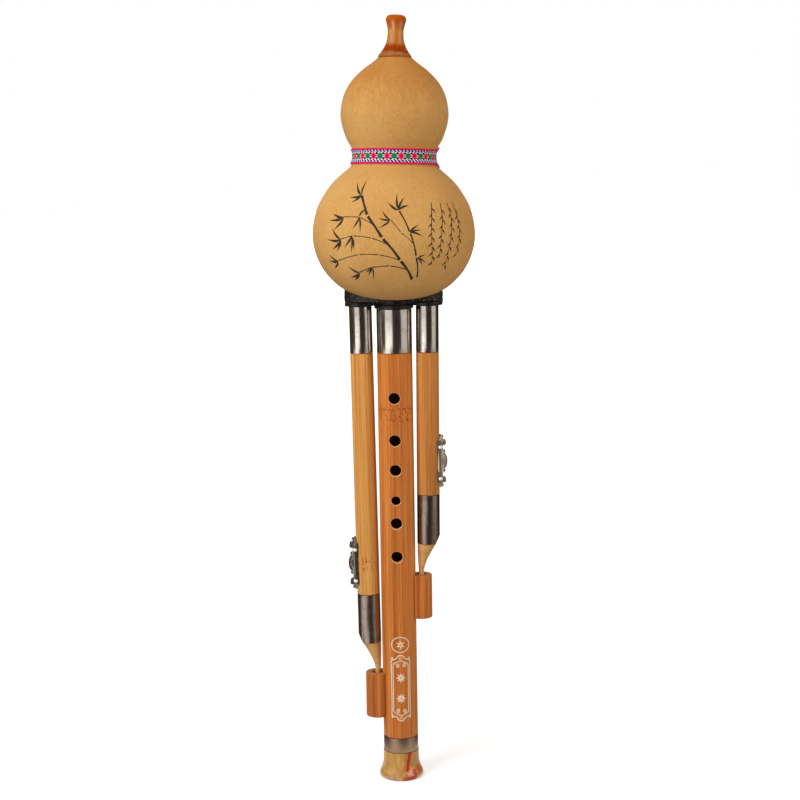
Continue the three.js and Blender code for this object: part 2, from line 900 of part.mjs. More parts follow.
function gourdEnvelope() {
  const outline = gourdOffset(seatGap, outlineSteps.gourd);
  const top = outline[outline.length - 1][1];
  return lathe([...outline, [0, top]], sides.gourd);
}

function boreCutter(radius, frame) {
  const through = rod(radius, -gourd.pivotRise, gourd.lowerRise, sides.drone);
  const toGourd = gourdFrame.clone().invert().multiply(frame);
  return through.applyMatrix4(toGourd);
}

const mainFrame = new THREE.Matrix4().makeTranslation(0, 0, seatHeight);

function barrelRadius(end, sleeveRadius, collar) {
  return sleeveRadius - end.tenonStep + slideClearance + collar.wall;
}

function gourdShellGeometry() {
  const outer = gourdOffset(0, outlineSteps.gourd);
  const inner = gourdOffset(-gourd.wall, outlineSteps.cavity).reverse();
  const top = outer[outer.length - 1][1];
  const hole = mouthpiece.tenonRadius + mouthpiece.tenonClearance;
  const shell = lathe([...outer, [hole, top], [hole, inner[0][1]], ...inner], sides.gourd);
  const mainHole = barrelRadius(mainEnd, mainSleeveRadius, mainCollar) + seatGap;
  const droneHole = barrelRadius(droneEnd, droneSleeveRadius, droneCollar) + seatGap;
  return cut(shell, [
    boreCutter(mainHole, mainFrame),
    boreCutter(droneHole, droneFrame(leftDrone)),
    boreCutter(droneHole, droneFrame(rightDrone)),
  ]);
}

// A collar in the frame of its pipe, with its neck shaped to the gourd.
function collarGeometry(collar, pipeRadius, end, sleeveRadius, frame, trims) {
  const bore = sleeveRadius - end.tenonStep + slideClearance;
  const rim = pipeRadius + collar.ledge;
  const neck = pipeRadius + collar.neckLedge;
  const barrel = barrelRadius(end, sleeveRadius, collar);
  const gourdSolid = gourdEnvelope().applyMatrix4(frame.clone().invert().multiply(gourdFrame));
  const flange = lathe(
    [
      [0, 0],
      [rim, 0],
      [rim, collar.rimHeight],
      [neck, collar.rimHeight],
      [neck, collar.length],
      [0, collar.length],
    ],
    sides.drone,
  );
  const shaped = cut(flange, [gourdSolid, ...trims]);
  const body = join([shaped, rod(barrel, 0, collar.length, sides.drone)]);
  return cut(body, [rod(bore, -overrun, collar.length + overrun, sides.drone)]);
}

function mainCollarGeometry() {
  return collarGeometry(mainCollar, mainPipe.radius, mainEnd, mainSleeveRadius, mainFrame, []);
}

function droneCollarGeometry(drone) {
  const frame = droneFrame(drone);
  const low = seatHeight - overrun;
  const high = seatHeight + droneCollar.lift + droneCollar.rimHeight + overrun;
  const trim = rod(mainRimRadius() + seatGap, low, high, sides.drone);
  trim.applyMatrix4(frame.clone().invert());
  return collarGeometry(
    droneCollar, dronePipe.radius, droneEnd, droneSleeveRadius, frame, [trim],
  );
}

// Black sealant that fills the space between the necks of the three collars and the gourd.
function sealantGeometry() {
  const foot = seatHeight + droneCollar.lift + droneCollar.rimHeight + seatGap;
  const top = seatHeight + gourd.lowerRise;
  const blank = rod(1, foot, top, sides.gourd).scale(sealant.halfLength, sealant.halfWidth, 1);
  const mainNeck = mainPipe.radius + mainCollar.neckLedge + seatGap;
  const droneNeck = dronePipe.radius + droneCollar.neckLedge + seatGap;
  const neckCutters = [leftDrone, rightDrone].map((drone) =>
    rod(droneNeck, -overrun, gourd.lowerRise, sides.drone).applyMatrix4(droneFrame(drone)),
  );
  return cut(blank, [
    gourdEnvelope().applyMatrix4(gourdFrame),
    rod(mainNeck, seatHeight, top + overrun, sides.drone),
    ...neckCutters,
  ]);
}

// The woven ribbon round the waist follows the gourd.
function ribbonGeometry() {
  const middle = gourd.baseRise - gourd.pivotRise + gourd.waistRise;
  const outline = gourdOffset(0, outlineSteps.gourd);
  const radiusAt = (height) => {
    const upper = outline.findIndex(([, z], index) => index > 0 && z >= height);
    const [lowRadius, lowHeight] = outline[upper - 1];
    const [highRadius, highHeight] = outline[upper];
    const share = (height - lowHeight) / (highHeight - lowHeight);
    return THREE.MathUtils.lerp(lowRadius, highRadius, share);
  };
  const heights = Array.from(
    { length: outlineSteps.ribbon + 1 },
    (unused, step) => middle + ribbon.width * (step / outlineSteps.ribbon - 0.5),
  );
  const inner = heights.map((height) => [radiusAt(height) + ribbon.slack, height]);
  const outer = inner.map(([radius, height]) => [radius + ribbon.thickness, height]);
  return lathe([...outer, ...inner.reverse(), outer[0]], sides.gourd);
}

// Mouthpiece in its own leaning frame, with its skirt at height zero.
function mouthpieceGeometry() {
  const { height, skirtRadius, waistRadius, lipRadius, tipRadius } = mouthpiece;
  const outline = [
    ...stretch(skirtShares, 0, height, waistRadius, skirtRadius),
    ...stretch(lipShares, 0, height, waistRadius, lipRadius),
    ...stretch(tipShares, 0, height, tipRadius, lipRadius),
  ];
  const foot = -mouthpiece.tenonLength;
  return lathe(
    [
      [mouthpiece.blowBore, foot],
      [mouthpiece.tenonRadius, foot],
      [mouthpiece.tenonRadius, 0],
      ...smooth(outline, outlineSteps.mouthpiece),
      [mouthpiece.blowBore, height],
      [mouthpiece.blowBore, foot],
    ],
    sides.drone,
  );
}

// Groups
function leaningGroup(frame) {
  const group = new THREE.Group();
  group.applyMatrix4(frame);
  return group;
}

function mainPipeGroup() {
  const group = new THREE.Group();
  const sleeve = (low, high) =>
    tube(mainPipe.radius - mainPipe.ferruleWall, mainPipe.radius, low, high, sides.mainPipe);
  const ring = tube(
    mainPipe.radius - bottomRing.wall,
    mainPipe.radius,
    bell.height + seatGap,
    bambooFoot - seatGap,
    sides.mainPipe,
  );
  const end = leaningGroup(mainFrame);
  end.add(...pipeEndMeshes("main", mainEnd, mainSleeveRadius, mainPipe.bore));
  group.add(
    named("main_pipe", mainTubeGeometry(), finishes.darkBamboo()),
    named("main_ferrule", sleeve(bambooTop + seatGap, seatHeight - seatGap), finishes.steel()),
    named("bottom_ring", ring, finishes.brushedRing()),
    named("bell", bellGeometry(), finishes.hornResin()),
    stubMesh("left_stub", leftDrone),
    stubMesh("right_stub", rightDrone),
    end,
  );
  return group;
}

function droneGroup(prefix, drone, bamboo) {
  const group = leaningGroup(droneFrame(drone));
  group.add(
    named(prefix + "_drone_pipe", droneTubeGeometry(drone), bamboo()),
    named(prefix + "_upper_ferrule", droneUpperFerruleGeometry(), finishes.steel()),
    named(prefix + "_lower_ferrule", droneLowerFerruleGeometry(drone), finishes.darkSteel()),
    named(prefix + "_quill", quillGeometry(drone), finishes.cutBamboo()),
    named(prefix + "_key_plate", keyPlateGeometry(drone), finishes.nickel()),
    named(prefix + "_key_nail_top", nailGeometry(drone, 1), finishes.nickel()),
    named(prefix + "_key_nail_bottom", nailGeometry(drone, -1), finishes.nickel()),
    named(prefix + "_key_slider", keySliderGeometry(drone), finishes.nickel()),
    named(prefix + "_key_pad", keyPadGeometry(drone), finishes.leather()),
    named(prefix + "_collar", droneCollarGeometry(drone), finishes.blackResin()),
    ...pipeEndMeshes(prefix, droneEnd, droneSleeveRadius, dronePipe.bore),
  );
  return group;
}

function mouthpieceGroup() {
  const group = new THREE.Group();
  const top = gourd.baseRise - gourd.pivotRise + gourd.topRise;
  group.position.set(0, 0, top + mouthpiece.seatLift);
  group.rotation.y = radians(mouthpiece.lean);
  group.add(named("mouthpiece", mouthpieceGeometry(), finishes.amberResin()));
  return group;
}

function gourdGroup() {
  const group = leaningGroup(gourdFrame);
  group.add(
    named("gourd_shell", gourdShellGeometry(), finishes.gourdSkin()),
    named("waist_ribbon", ribbonGeometry(), finishes.wovenRibbon()),
    mouthpieceGroup(),
  );
  return group;
}

function collarGroup() {
  const group = leaningGroup(mainFrame);
  group.add(named("main_collar", mainCollarGeometry(), finishes.blackResin()));
  return group;
}

const flute = new THREE.Group();
flute.add(
  mainPipeGroup(),
  collarGroup(),
  named("collar_sealant", sealantGeometry(), finishes.blackSealant()),
  gourdGroup(),
  droneGroup("left", leftDrone, finishes.paleBamboo),
  droneGroup("right", rightDrone, finishes.brownBamboo),
);

export default flute;
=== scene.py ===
"""A gourd flute with two drone pipes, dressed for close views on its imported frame.

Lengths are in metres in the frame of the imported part: +Z runs up the finger-hole pipe from the middle of
the bell's foot, and the finger holes face -Y.
"""

from __future__ import annotations

import logging
import math
from dataclasses import dataclass
from enum import Enum
from functools import cached_property
from typing import Iterable, Optional, Protocol, Sequence

import bmesh
import bpy
from mathutils import Matrix, Vector, noise


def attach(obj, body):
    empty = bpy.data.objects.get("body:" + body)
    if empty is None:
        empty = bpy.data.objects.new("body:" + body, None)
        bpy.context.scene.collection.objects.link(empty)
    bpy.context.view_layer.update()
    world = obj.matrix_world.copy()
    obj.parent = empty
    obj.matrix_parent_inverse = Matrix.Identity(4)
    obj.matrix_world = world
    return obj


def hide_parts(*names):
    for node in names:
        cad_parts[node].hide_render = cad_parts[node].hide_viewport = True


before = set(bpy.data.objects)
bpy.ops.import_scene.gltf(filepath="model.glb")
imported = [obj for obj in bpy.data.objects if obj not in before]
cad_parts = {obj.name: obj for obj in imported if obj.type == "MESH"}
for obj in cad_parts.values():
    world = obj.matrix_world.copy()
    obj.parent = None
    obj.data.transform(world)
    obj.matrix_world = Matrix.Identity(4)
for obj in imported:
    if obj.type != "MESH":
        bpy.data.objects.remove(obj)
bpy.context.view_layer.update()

MM = 0.001
WELD = 0.0005 * MM
OVERRUN = 2 * MM
Mesh = bmesh.types.BMesh
Points = Sequence[tuple[float, float]]

log = logging.getLogger("flute")


class Body(Enum):
    """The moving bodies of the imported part."""

    PIPE = "main_pipe"
    GOURD = "gourd"
    LEFT_DRONE = "left_drone"
    RIGHT_DRONE = "right_drone"
    LEFT_KEY = "left_key"
    RIGHT_KEY = "right_key"


class Layer(Enum):
    """The place of a finish on a piece: its skin, or what a cut lays bare; on a key's plate, the painted
    highlight of its beads.
    """

    SKIN = 0
    CUT = 1


# Shapes


def smooth_line(points: Sequence[Sequence[float]], steps: int) -> list[Vector]:
    """Points evenly spaced in parameter on a smooth curve through the given ones.

    Args:
        points: The points that the curve passes through.
        steps: Number of steps along the whole curve.

    Returns:
        steps + 1 points.
    """
    corners = [Vector(point) for point in points]
    last = len(corners) - 1
    line = []
    for step in range(steps + 1):
        place = last * step / steps
        index = min(int(place), last - 1)
        share = place - index
        before = corners[max(index - 1, 0)]
        start, end = corners[index], corners[index + 1]
        after = corners[min(index + 2, last)]
        leave, arrive = (end - before) / 2, (after - start) / 2
        bend = 2 * (start - end) + leave + arrive
        sweep = 3 * (end - start) - 2 * leave - arrive
        line.append(((bend * share + sweep) * share + leave) * share + start)
    return line


def stretch(shares: Points, heights: tuple[float, float], radii: tuple[float, float]) -> list[Vector]:
    """Turn (height share, radius share) pairs into (radius, height) points.

    Args:
        shares: The pairs, each from 0 to 1.
        heights: The heights at shares 0 and 1.
        radii: The radii at shares 0 and 1.

    Returns:
        The points.
    """
    low, high = heights
    inner, outer = radii
    return [Vector((inner + (outer - inner) * out, low + (high - low) * up)) for up, out in shares]


def rounded(points: Points, radius: float, steps: int = 3) -> list[Vector]:
    """Round the inner corners of an open outline.

    Args:
        points: (radius, height) corners.
        radius: Distance from a corner at which its rounding starts.
        steps: Steps of each rounding.

    Returns:
        The outline's points with its corners rounded.
    """
    corners = [Vector(point) for point in points]
    line = [corners[0]]
    for before, corner, after in zip(corners, corners[1:], corners[2:]):
        reach = min(radius, (before - corner).length * 0.45, (after - corner).length * 0.45)
        start = corner + (before - corner).normalized() * reach
        end = corner + (after - corner).normalized() * reach
        for step in range(steps + 1):
            share = step / steps
            line.append(start.lerp(corner, share).lerp(corner.lerp(end, share), share))
    line.append(corners[-1])
    return line


def ring_line(points: Points, radius: float, steps: int = 3) -> list[Vector]:
    """Round every corner of a closed outline, which starts in the middle of its first side.

    Args:
        points: The outline's corners.
        radius: Radius of the rounding.
        steps: Steps in each corner.

    Returns:
        The rounded outline.
    """
    first, second = Vector(points[0]), Vector(points[1])
    start = (first + second) / 2
    return rounded([start, *points[1:], points[0], start], radius, steps)[:-1]


def turned(degrees: float, axis: str) -> Matrix:
    """A turn about an axis."""
    return Matrix.Rotation(math.radians(degrees), 4, axis)


SIDE_ON = turned(90, "Y")


def shifted(along_x: float, along_y: float, along_z: float) -> Matrix:
    """A shift."""
    return Matrix.Translation((along_x, along_y, along_z))


def spread(count: int, start: float = 0) -> list[float]:
    """Angles evenly spaced round a full turn, the first one at a share of a step."""
    return [math.tau * (step + start) / count for step in range(count)]


def corners_of(made: Iterable[object]) -> list[bmesh.types.BMVert]:
    """The corners among what an extrusion has made."""
    return [part for part in made if isinstance(part, bmesh.types.BMVert)]


def next_ring(
    bm: Mesh, ring: list[bmesh.types.BMEdge]
) -> tuple[list[bmesh.types.BMVert], list[bmesh.types.BMEdge]]:
    """Extrude a ring of edges.

    Args:
        bm: The mesh that the ring is in.
        ring: The edges.

    Returns:
        The corners and the edges of the new ring.
    """
    made = bmesh.ops.extrude_edge_only(bm, edges=ring)["geom"]
    verts = corners_of(made)
    edges = [part for part in made if isinstance(part, bmesh.types.BMEdge)]
    return verts, [edge for edge in edges if all(vert in verts for vert in edge.verts)]


def close_ring(bm: Mesh, ring: list[bmesh.types.BMEdge]) -> Mesh:
    """Close a mesh's last opening and turn its faces outwards.

    Args:
        bm: The mesh.
        ring: The edges round the opening.

    Returns:
        The same mesh.
    """
    bmesh.ops.holes_fill(bm, edges=ring)
    bmesh.ops.recalc_face_normals(bm, faces=bm.faces)
    return bm


def prism(ring: Iterable[Sequence[float]], sweep: Sequence[float]) -> Mesh:
    """A closed mesh, swept by a flat ring of points along a straight line.

    Args:
        ring: The points.
        sweep: Length and direction of the line.

    Returns:
        The mesh, with its faces outwards.
    """
    bm = bmesh.new()
    face = bm.faces.new([bm.verts.new(point) for point in ring])
    made = bmesh.ops.extrude_face_region(bm, geom=[face])["geom"]
    bmesh.ops.translate(bm, verts=corners_of(made), vec=sweep)
    bmesh.ops.recalc_face_normals(bm, faces=bm.faces)
    return bm


def lathe(outline: Sequence[Sequence[float]], sides: int, closed: bool = False) -> Mesh:
    """Spin an outline of (radius, height) points round Z.

    Args:
        outline: Points that start and end on the axis, or a ring of points where closed.
        sides: Facets round the axis.
        closed: Whether the last point joins the first.

    Returns:
        A closed mesh whose faces point outwards.
    """
    bm = bmesh.new()
    verts = [bm.verts.new((point[0], 0, point[1])) for point in outline]
    follow = verts[1:] + verts[:1] if closed else verts[1:]
    edges = [bm.edges.new(pair) for pair in zip(verts, follow)]
    bmesh.ops.spin(
        bm, geom=verts + edges, cent=(0, 0, 0), axis=(0, 0, 1), angle=math.tau, steps=sides, use_merge=True
    )
    bmesh.ops.remove_doubles(bm, verts=bm.verts, dist=WELD)
    bmesh.ops.recalc_face_normals(bm, faces=bm.faces)
    return bm


def loft(rings: Sequence[tuple[Vector, float]], sides: int) -> Mesh:
    """Draw a closed skin over level circles that follow each other.

    Args:
        rings: (centre, radius) of each circle.
        sides: Facets round the skin.

    Returns:
        A closed mesh whose faces point outwards.
    """
    bm = bmesh.new()
    centre, radius = rings[0]
    made = bmesh.ops.create_circle(bm, cap_ends=True, segments=sides, radius=radius)
    bmesh.ops.translate(bm, verts=made["verts"], vec=centre)
    ring = list(bm.edges)
    for next_centre, next_radius in rings[1:]:
        verts, ring = next_ring(bm, ring)
        for vert in verts:
            vert.co = next_centre + (vert.co - centre) * (next_radius / radius)
        centre, radius = next_centre, next_radius
    return close_ring(bm, ring)


def rod(radius: float, low: float, high: float, sides: int) -> Mesh:
    """A plain rod along Z, used as a cutter."""
    return lathe([(0, low), (radius, low), (radius, high), (0, high)], sides)


def block(low: Sequence[float], high: Sequence[float]) -> Mesh:
    """A box between two corners.

    Args:
        low: The corner with the lowest coordinates.
        high: The corner across from it.

    Returns:
        The box.
    """
    bm = bmesh.new()
    bmesh.ops.create_cube(bm, size=1)
    size = Vector(high) - Vector(low)
    middle = (Vector(high) + Vector(low)) / 2
    return move(bm, Matrix.Translation(middle) @ Matrix.Diagonal((*size, 1)))


def ball(radius: float, smoothness: int, spot: Sequence[float]) -> Mesh:
    """A ball at a spot.

    Args:
        radius: Its radius.
        smoothness: How often its faces are divided.
        spot: Its middle.

    Returns:
        The ball.
    """
    bm = bmesh.new()
    bmesh.ops.create_icosphere(bm, subdivisions=smoothness, radius=radius)
    return move(bm, Matrix.Translation(spot))


def move(bm: Mesh, matrix: Matrix) -> Mesh:
    """Turn and shift a whole mesh."""
    bmesh.ops.transform(bm, matrix=matrix, verts=bm.verts)
    return bm


def mark(bm: Mesh, layer: Layer) -> Mesh:
    """Give every face of a mesh one place in the list of finishes.

    Args:
        bm: The mesh.
        layer: The place in the list.

    Returns:
        The same mesh.
    """
    for face in bm.faces:
        face.material_index = layer.value
    return bm


def merge(parts: Iterable[Mesh]) -> Mesh:
    """Put several meshes side by side in one.

    Args:
        parts: The meshes, which are freed.

    Returns:
        The one mesh.
    """
    whole = bmesh.new()
    for part in parts:
        mesh = bpy.data.meshes.new("part")
        part.to_mesh(mesh)
        part.free()
        whole.from_mesh(mesh)
        bpy.data.meshes.remove(mesh)
    return whole


def carve(bm: Mesh, cutters: Iterable[Mesh], operation: str = "DIFFERENCE") -> Mesh:
    """Cut a closed mesh by others, one after another. Cut faces keep the cutter's layer.

    Args:
        bm: The mesh that is cut.
        cutters: The closed meshes that cut it.
        operation: The Boolean modifier's operation.

    Returns:
        The mesh that is left.
    """
    finishes = [None for _ in Layer]
    body, *tools = [add_object("passing", part, finishes) for part in (bm, *cutters)]
    for tool in tools:
        modifier = body.modifiers.new("cut", "BOOLEAN")
        modifier.operation = operation
        modifier.solver = "EXACT"
        modifier.object = tool
    shown = body.evaluated_get(bpy.context.evaluated_depsgraph_get())
    left = bmesh.new()
    left.from_mesh(shown.to_mesh())
    shown.to_mesh_clear()
    for thing in (body, *tools):
        mesh = thing.data
        bpy.data.objects.remove(thing)
        bpy.data.meshes.remove(mesh)
    bmesh.ops.remove_doubles(left, verts=left.verts, dist=WELD)
    return left


def add_object(name: str, bm: Mesh, finishes: Iterable[Optional[bpy.types.Material]]) -> bpy.types.Object:
    """Put a mesh in the scene.

    Args:
        name: The object's name.
        bm: The mesh, which is used up.
        finishes: The materials of its faces.

    Returns:
        The new object.
    """
    mesh = bpy.data.meshes.new(name)
    bm.to_mesh(mesh)
    bm.free()
    for finish in finishes:
        mesh.materials.append(finish)
    thing = bpy.data.objects.new(name, mesh)
    bpy.context.scene.collection.objects.link(thing)
    return thing


def add_piece(
    name: str,
    bm: Mesh,
    body: Body,
    finishes: Sequence[bpy.types.Material],
    replaces: Sequence[str] = (),
    crease: float = 32,
) -> None:
    """Make a piece of the object from a mesh, and let it ride on a body.

    Args:
        name: The piece's name.
        bm: Its mesh, in the frame of the part.
        body: The body that it moves with.
        finishes: Its materials, in the order of Layer.
        replaces: The nodes that it stands for.
        crease: Edges sharper than this many degrees stay sharp.
    """
    for edge in bm.edges:
        edge.smooth = edge.calc_face_angle(0) < math.radians(crease)
    for face in bm.faces:
        face.smooth = True
    piece = add_object(name, bm, finishes)
    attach(piece, body.value)
    if replaces:
        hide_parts(*replaces)
    log.info("%s: %d faces", name, len(piece.data.polygons))


# Drawing on curved skins


class Canvas(Protocol):
    """A skin that lines can be drawn on."""

    def place(self, across: float, up: float, lift: float) -> Vector:
        """The point above a place on the skin."""


@dataclass(frozen=True)
class PipeCanvas:
    """The front of an upright pipe."""

    radius: float
    turn: float

    def place(self, across: float, up: float, lift: float) -> Vector:
        """The point above a place on the pipe's front.

        Args:
            across: Distance round the pipe from the drawing's middle.
            up: Height.
            lift: Distance off the skin.

        Returns:
            The point in the frame of the part.
        """
        angle = across / self.radius + math.radians(self.turn)
        reach = self.radius + lift
        return Vector((reach * math.sin(angle), -reach * math.cos(angle), up))


@dataclass(frozen=True)
class Stroke:
    """One drawn line: the points that it follows, and its width at its start, middle and end."""

    points: Points
    widths: tuple[float, float, float]
    steps: int = 14


def draw(strokes: Iterable[Stroke], canvas: Canvas, lift: float, depth: float) -> Mesh:
    """Lay strokes on a canvas as thin closed strips.

    Args:
        strokes: The lines to draw.
        canvas: The skin under them.
        lift: Distance of the first stroke off the skin. Each next one lies a hair higher.
        depth: Thickness of a strip.

    Returns:
        One mesh with all strips.
    """
    bm = bmesh.new()
    for order, stroke in enumerate(strokes):
        height = lift + order * 0.0002 * MM
        line = smooth_line(stroke.points, stroke.steps)
        widths = smooth_line([(width, 0) for width in stroke.widths], stroke.steps)
        edge = None
        for index, point in enumerate(line):
            along = (line[min(index + 1, stroke.steps)] - line[max(index - 1, 0)]).normalized()
            side = Vector((-along.y, along.x)) * max(widths[index].x, 0.03 * MM) / 2
            ends = [canvas.place(*(point + side), height), canvas.place(*(point - side), height)]
            edge = _next_edge(bm, edge, ends)
    bmesh.ops.recalc_face_normals(bm, faces=bm.faces)
    bmesh.ops.solidify(bm, geom=list(bm.faces), thickness=depth)
    return bm


def _next_edge(bm: Mesh, edge: Optional[bmesh.types.BMEdge], ends: Sequence[Vector]) -> bmesh.types.BMEdge:
    """Start a strip with an edge, or carry its last edge on.

    Args:
        bm: The mesh that the strip is in.
        edge: The strip's last edge, if it has one.
        ends: The ends of its next edge.

    Returns:
        The next edge.
    """
    if edge is None:
        return bm.edges.new([bm.verts.new(end) for end in ends])
    first = edge.verts[0].co.copy()
    verts = corners_of(bmesh.ops.extrude_edge_only(bm, edges=[edge])["geom"])
    verts.sort(key=lambda vert: (vert.co - first).length)
    for vert, end in zip(verts, ends):
        vert.co = end
    return bm.edges.get(verts)


# Shader writing

Socket = "Wire | float | Sequence[float]"


class Wire:
    """An output socket of a material's nodes. Python's operators on it add Math nodes."""

    def __init__(self, sheet: "Sheet", socket: bpy.types.NodeSocket) -> None:
        """Wrap a socket of a sheet."""
        self.sheet = sheet
        self.socket = socket

    def _math(self, operation: str, *values: Socket) -> "Wire":
        """Add a Math node."""
        return self.sheet.math(operation, *values)

    def __add__(self, other: Socket) -> "Wire":
        """Sum."""
        return self._math("ADD", self, other)

    def __sub__(self, other: Socket) -> "Wire":
        """Difference."""
        return self._math("SUBTRACT", self, other)

    def __rsub__(self, other: Socket) -> "Wire":
        """Reflected difference."""
        return self._math("SUBTRACT", other, self)

    def __mul__(self, other: Socket) -> "Wire":
        """Product."""
        return self._math("MULTIPLY", self, other)

    def __truediv__(self, other: Socket) -> "Wire":
        """Quotient."""
        return self._math("DIVIDE", self, other)

    def __pow__(self, other: Socket) -> "Wire":
        """Power."""
        return self._math("POWER", self, other)

    def __abs__(self) -> "Wire":
        """Distance from zero."""
        return self._math("ABSOLUTE", self)

    def __lt__(self, other: Socket) -> "Wire":
        """1 where this is smaller."""
        return self._math("LESS_THAN", self, other)

    def __gt__(self, other: Socket) -> "Wire":
        """1 where this is larger."""
        return self._math("GREATER_THAN", self, other)

    def __floordiv__(self, other: Socket) -> "Wire":
        """Whole part of a quotient."""
        return self._math("FLOOR", self / other)

    def __mod__(self, other: Socket) -> "Wire":
        """What a whole quotient leaves."""
        return self._math("FLOORED_MODULO", self, other)

    __radd__ = __add__
    __rmul__ = __mul__


def tint(code: str) -> tuple[float, float, float, float]:
    """The linear colour of six hexadecimal digits.

    Args:
        code: The digits.

    Returns:
        Red, green, blue and alpha.
    """
    parts = [int(code[start : start + 2], 16) / 255 for start in (0, 2, 4)]
    linear = [part / 12.92 if part <= 0.04045 else ((part + 0.055) / 1.055) ** 2.4 for part in parts]
    return (*linear, 1.0)


class Sheet:
    """The nodes of one material, with the few helpers that every finish draws with."""

    def __init__(self, name: str, world: Optional[bpy.types.World] = None) -> None:
        """Start an empty material, or empty a world that is given.

        Args:
            name: The material's name.
            world: The world to light, where there is one.
        """
        self.holder = world or bpy.data.materials.new(name)
        self.holder.use_nodes = True
        self.tree = self.holder.node_tree
        self.tree.nodes.clear()
        self.output = self.tree.nodes.new("ShaderNodeOutputWorld" if world else "ShaderNodeOutputMaterial")

    def node(self, kind: str, settings: dict, sockets: dict, output: int | str = 0) -> Wire:
        """Add a node.

        Args:
            kind: The node's type.
            settings: Its own settings, set first. "stops" holds a ramp's stops.
            sockets: Values or wires by the name or number of its input.
            output: Name or number of the output to hand back.

        Returns:
            The wire of that output.
        """
        made = self.tree.nodes.new(kind)
        for key, value in settings.items():
            if key == "stops":
                self._set_stops(made.color_ramp, value)
            else:
                setattr(made, key, value)
        for key, value in sockets.items():
            if isinstance(value, Wire):
                self.tree.links.new(value.socket, made.inputs[key])
            else:
                made.inputs[key].default_value = value
        return Wire(self, made.outputs[output])

    @staticmethod
    def _set_stops(ramp: bpy.types.ColorRamp, stops: Sequence[tuple[float, Sequence[float]]]) -> None:
        """Set a colour ramp's stops.

        Args:
            ramp: The ramp.
            stops: The place and colour of each stop.
        """
        while len(ramp.elements) < len(stops):
            ramp.elements.new(1)
        for element, (place, colour) in zip(ramp.elements, stops):
            element.position = place
            element.color = colour

    def where(self, frame_of: Optional[Matrix] = None) -> Wire:
        """Object coordinates, as seen from a leaning frame where one is given.

        Args:
            frame_of: The leaning frame.

        Returns:
            The wire of the coordinates.
        """
        plain = self.node("ShaderNodeTexCoord", {}, {}, "Object")
        if frame_of is None:
            return plain
        back = frame_of.inverted()
        turned = {"Location": back.to_translation(), "Rotation": back.to_euler()}
        return self.node("ShaderNodeMapping", {"vector_type": "POINT"}, {"Vector": plain, **turned})

    def ray(self, kind: str) -> Wire:
        """1 for rays of a kind, such as Camera."""
        return self.node("ShaderNodeLightPath", {}, {}, f"Is {kind} Ray")

    def scaled(self, place: Wire, scale: Sequence[float]) -> Wire:
        """Coordinates stretched along their axes."""
        return self.node("ShaderNodeVectorMath", {"operation": "MULTIPLY"}, {0: place, 1: scale})

    def split(self, place: Wire) -> tuple[Wire, Wire, Wire]:
        """The three numbers of a vector.

        Args:
            place: The vector.

        Returns:
            A wire for each number.
        """
        made = self.node("ShaderNodeSeparateXYZ", {}, {"Vector": place})
        outputs = made.socket.node.outputs
        return Wire(self, outputs[0]), Wire(self, outputs[1]), Wire(self, outputs[2])

    def noise(
        self, place: Wire, scale: float, detail: float = 3, roughness: float = 0.5, stretch: float = 1
    ) -> Wire:
        """Noise, about 0.5 in the middle.

        Args:
            place: Its coordinates.
            scale: Its scale.
            detail: Its number of octaves.
            roughness: How strong the fine octaves are.
            stretch: Factor on Z, below 1 where the noise is drawn out along Z.

        Returns:
            The noise's wire.
        """
        if stretch != 1:
            place = self.scaled(place, (1, 1, stretch))
        sockets = {"Vector": place, "Scale": scale, "Detail": detail, "Roughness": roughness}
        return self.node("ShaderNodeTexNoise", {}, sockets, "Fac")

    def cells(self, place: Wire, scale: float) -> Wire:
        """Distance from the middles of scattered cells."""
        return self.node("ShaderNodeTexVoronoi", {}, {"Vector": place, "Scale": scale}, "Distance")

    def bent(self, place: Wire, scale: float, amount: float) -> Wire:
        """Coordinates pushed about by noise.

        Args:
            place: The coordinates.
            scale: Scale of the noise.
            amount: How far they are pushed.

        Returns:
            The wire of the coordinates.
        """
        sockets = {"Vector": place, "Scale": scale, "Detail": 2.0}
        push = self.node("ShaderNodeTexNoise", {}, sockets, "Color")
        middle = {0: push, 1: (0.5, 0.5, 0.5)}
        centred = self.node("ShaderNodeVectorMath", {"operation": "SUBTRACT"}, middle)
        sockets = {0: centred, 1: (amount, amount, amount), 2: place}
        return self.node("ShaderNodeVectorMath", {"operation": "MULTIPLY_ADD"}, sockets)

    def step(self, value: Wire, low: float, high: float) -> Wire:
        """0 below low, 1 above high, and a smooth rise between."""
        sockets = {"Value": value, "From Min": low, "From Max": high}
        return self.node("ShaderNodeMapRange", {"interpolation_type": "SMOOTHSTEP"}, sockets)

    def fall(self, value: Wire, low: float, high: float) -> Wire:
        """1 below low, 0 above high, and a smooth fall between."""
        return 1 - self.step(value, low, high)

    def ramp(self, value: Wire, stops: Sequence[tuple[float, str]]) -> Wire:
        """A colour ramp over a value, with its colours in hexadecimal digits."""
        colours = [(place, tint(code)) for place, code in stops]
        return self.node("ShaderNodeValToRGB", {"stops": colours}, {"Fac": value})

    def mix(self, mask: Wire, low: Wire | str, high: Wire | str, blend: str = "MIX") -> Wire:
        """One colour where the mask is 0, another where it is 1.

        Args:
            mask: The mask.
            low: The colour where it is 0.
            high: The colour where it is 1.
            blend: How the second colour lies on the first.

        Returns:
            The wire of the colour.
        """
        low, high = [tint(value) if isinstance(value, str) else value for value in (low, high)]
        settings = {"data_type": "RGBA", "blend_type": blend}
        return self.node("ShaderNodeMix", settings, {0: mask, 6: low, 7: high}, 2)

    def bump(self, height: Wire, distance: float, strength: float = 1.0) -> Wire:
        """A normal that follows a height."""
        sockets = {"Height": height, "Distance": distance, "Strength": strength}
        return self.node("ShaderNodeBump", {}, sockets)

